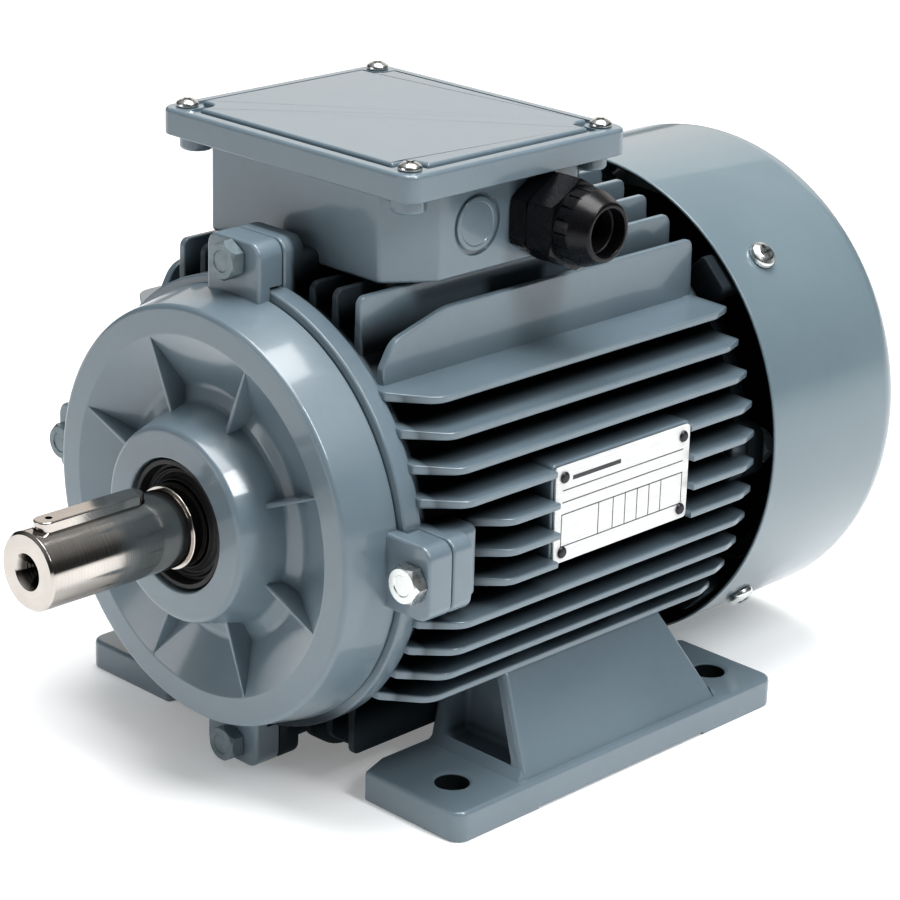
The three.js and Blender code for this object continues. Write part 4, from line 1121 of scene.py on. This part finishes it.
show("gland_body", gland_body())
show("gland_cap_nut", gland_cap())
show("gland_locknut", cut(hex_nut(46.5, 51.2, 13.5), along_gland(pin(10.1, 40, 60), 48)))
show("gland_sealing_insert", along_gland(tube(GLAND_BORE_R, 11, 74.6, 83.2, 0.8)))


# -------- rating plate
plate_holes = [drill(1.5, 5, "x", (90, y, z)) for y, z in product(RIVET_Y, RIVET_Z)]
show("rating_plate", cut(prism(rect(PLATE_Y, PLATE_Z, 1.6), *PLATE_X, "x", (0, 0.25)), plate_holes))


def rule(ys, zs):
    return prism(rect(ys, zs), PLATE_X[1] - 0.05, PLATE_X[1] + 0.04, "x", (0, 0))


def plate_rules():
    """Plain ruled lines: a header bar, rows across the plate and columns below them."""
    left, right = PLATE_Y[0] + 3.5, PLATE_Y[1] - 3.5
    top, bottom = PLATE_Z[1] - 9, PLATE_Z[0] + 6
    line = 0.2
    lines = [rule((left, right), (z - line, z + line)) for z in (top, top - 4.5, top - 9)]
    for share in (0.0, 0.3, 0.42, 0.52, 0.62, 0.72, 0.82, 1.0):
        y = left + (right - left) * share
        lines.append(rule((y - line, y + line), (bottom, top - 9 + line)))
    lines.append(rule((left, right), (bottom - line, bottom + line)))
    header = rule((left + 5, left + 30), (top + 3.0, top + 4.6))
    return together([*lines, header])


show("rating_plate", plate_rules(), INK, "rating_plate_rules", stands_for=False)
root, head = PLATE_X[0] - 3.6, PLATE_X[1] + GAP
rivet = turned([(0, root), (1.2, root), (1.2, head), (2.2, head, 0.1), (1.7, PLATE_X[1] + 1.1, 0.6),
                (0, PLATE_X[1] + 1.3)], 32)
for i, (y, z) in enumerate(product(RIVET_Y, RIVET_Z), 1):
    show(f"rating_plate_rivet_{i}", pointing(rivet, "x", (0, y, z)), DARK_RIVET)


# -------- pieces that keep their CAD mesh
for node, made in frame["nodes"].items():
    if made.hide_render:
        continue
    edges = made.modifiers.new("edges", "BEVEL")
    edges.width = 0.0002
    edges.segments = 2
    edges.limit_method = "ANGLE"
    dress(made, MATERIALS[SLOT_OF[node]])


# -------- floor, light and camera
def floor():
    reach = (-6.0, 6.0)
    mesh = bpy.data.meshes.new("floor")
    mesh.from_pydata(rect(reach, reach), [], [(0, 1, 2, 3)])
    nodes = Nodes("pale_floor")
    mesh.materials.append(nodes.finish(Base_Color=(0.90, 0.905, 0.91, 1), Roughness=0.85,
                                       Emission_Color=(1, 1, 1, 1), Emission_Strength=0.2))
    linked("floor", mesh)


def lamp(name, place, target, size, watts, colour=(1, 1, 1)):
    light = bpy.data.lights.new(name, "AREA")
    light.shape = "RECTANGLE"
    light.size, light.size_y = size
    light.energy = watts
    light.color = colour
    made = linked(name, light)
    made.location = place
    made.rotation_euler = (Vector(target) - Vector(place)).to_track_quat("-Z", "Y").to_euler()


def sky():
    """Pale studio surround, brighter overhead than at the horizon."""
    nodes = Nodes("studio", world=True)
    _, _, up = nodes.xyz()
    greys = ((0.0, 0.06), (0.35, 0.14), (1.0, 0.9))
    colour = nodes.ramp(up, *[(height, (grey * 0.97, grey * 0.99, grey)) for height, grey in greys])
    bpy.context.scene.world = nodes.finish(Color=colour, Strength=0.5)


# The camera fitted to the photo: degrees round the object from its front, up and tilted, then
# the point it looks at and its distance in metres, and its lens and sensor in millimetres.
AZIMUTH, ELEVATION, ROLL = 44.2955, 20.3614, 1.6425
TARGET, DISTANCE = (0.03823, -0.017, 0.11498), 1.04134
LENS, SENSOR = 116.3, 36


def camera():
    azimuth, elevation, roll = [math.radians(angle) for angle in (AZIMUTH, ELEVATION, ROLL)]
    back = Vector((math.sin(azimuth) * math.cos(elevation), -math.cos(azimuth) * math.cos(elevation),
                   math.sin(elevation)))
    level = Vector((math.cos(azimuth), math.sin(azimuth), 0))
    up = back.cross(level)
    right = level * math.cos(roll) + up * math.sin(roll)
    above = up * math.cos(roll) - level * math.sin(roll)
    data = bpy.data.cameras.new("camera")
    data.lens = LENS
    data.sensor_width = SENSOR
    made = linked("camera", data)
    made.matrix_world = Matrix((right, above, back)).transposed().to_4x4()
    made.location = Vector(TARGET) + back * DISTANCE
    bpy.context.scene.camera = made


floor()
lamp("key", (1.3, 0.1, 1.6), (0, 0, 0.1), (0.3, 0.9), 17)
lamp("back", (-1.3, 1.6, 0.9), (0, 0, 0.15), (2.5, 1.2), 7.5, (1, 0.94, 0.88))
lamp("top", (0.1, 0.1, 1.7), (0, 0, 0.1), (1.0, 1.0), 25)
lamp("fill", (-0.5, -1.4, 0.4), (0, -0.1, 0.05), (0.8, 0.3), 2.6)
sky()
camera()
view = bpy.context.scene.view_settings
view.view_transform = "Standard"
view.look = "Medium High Contrast"
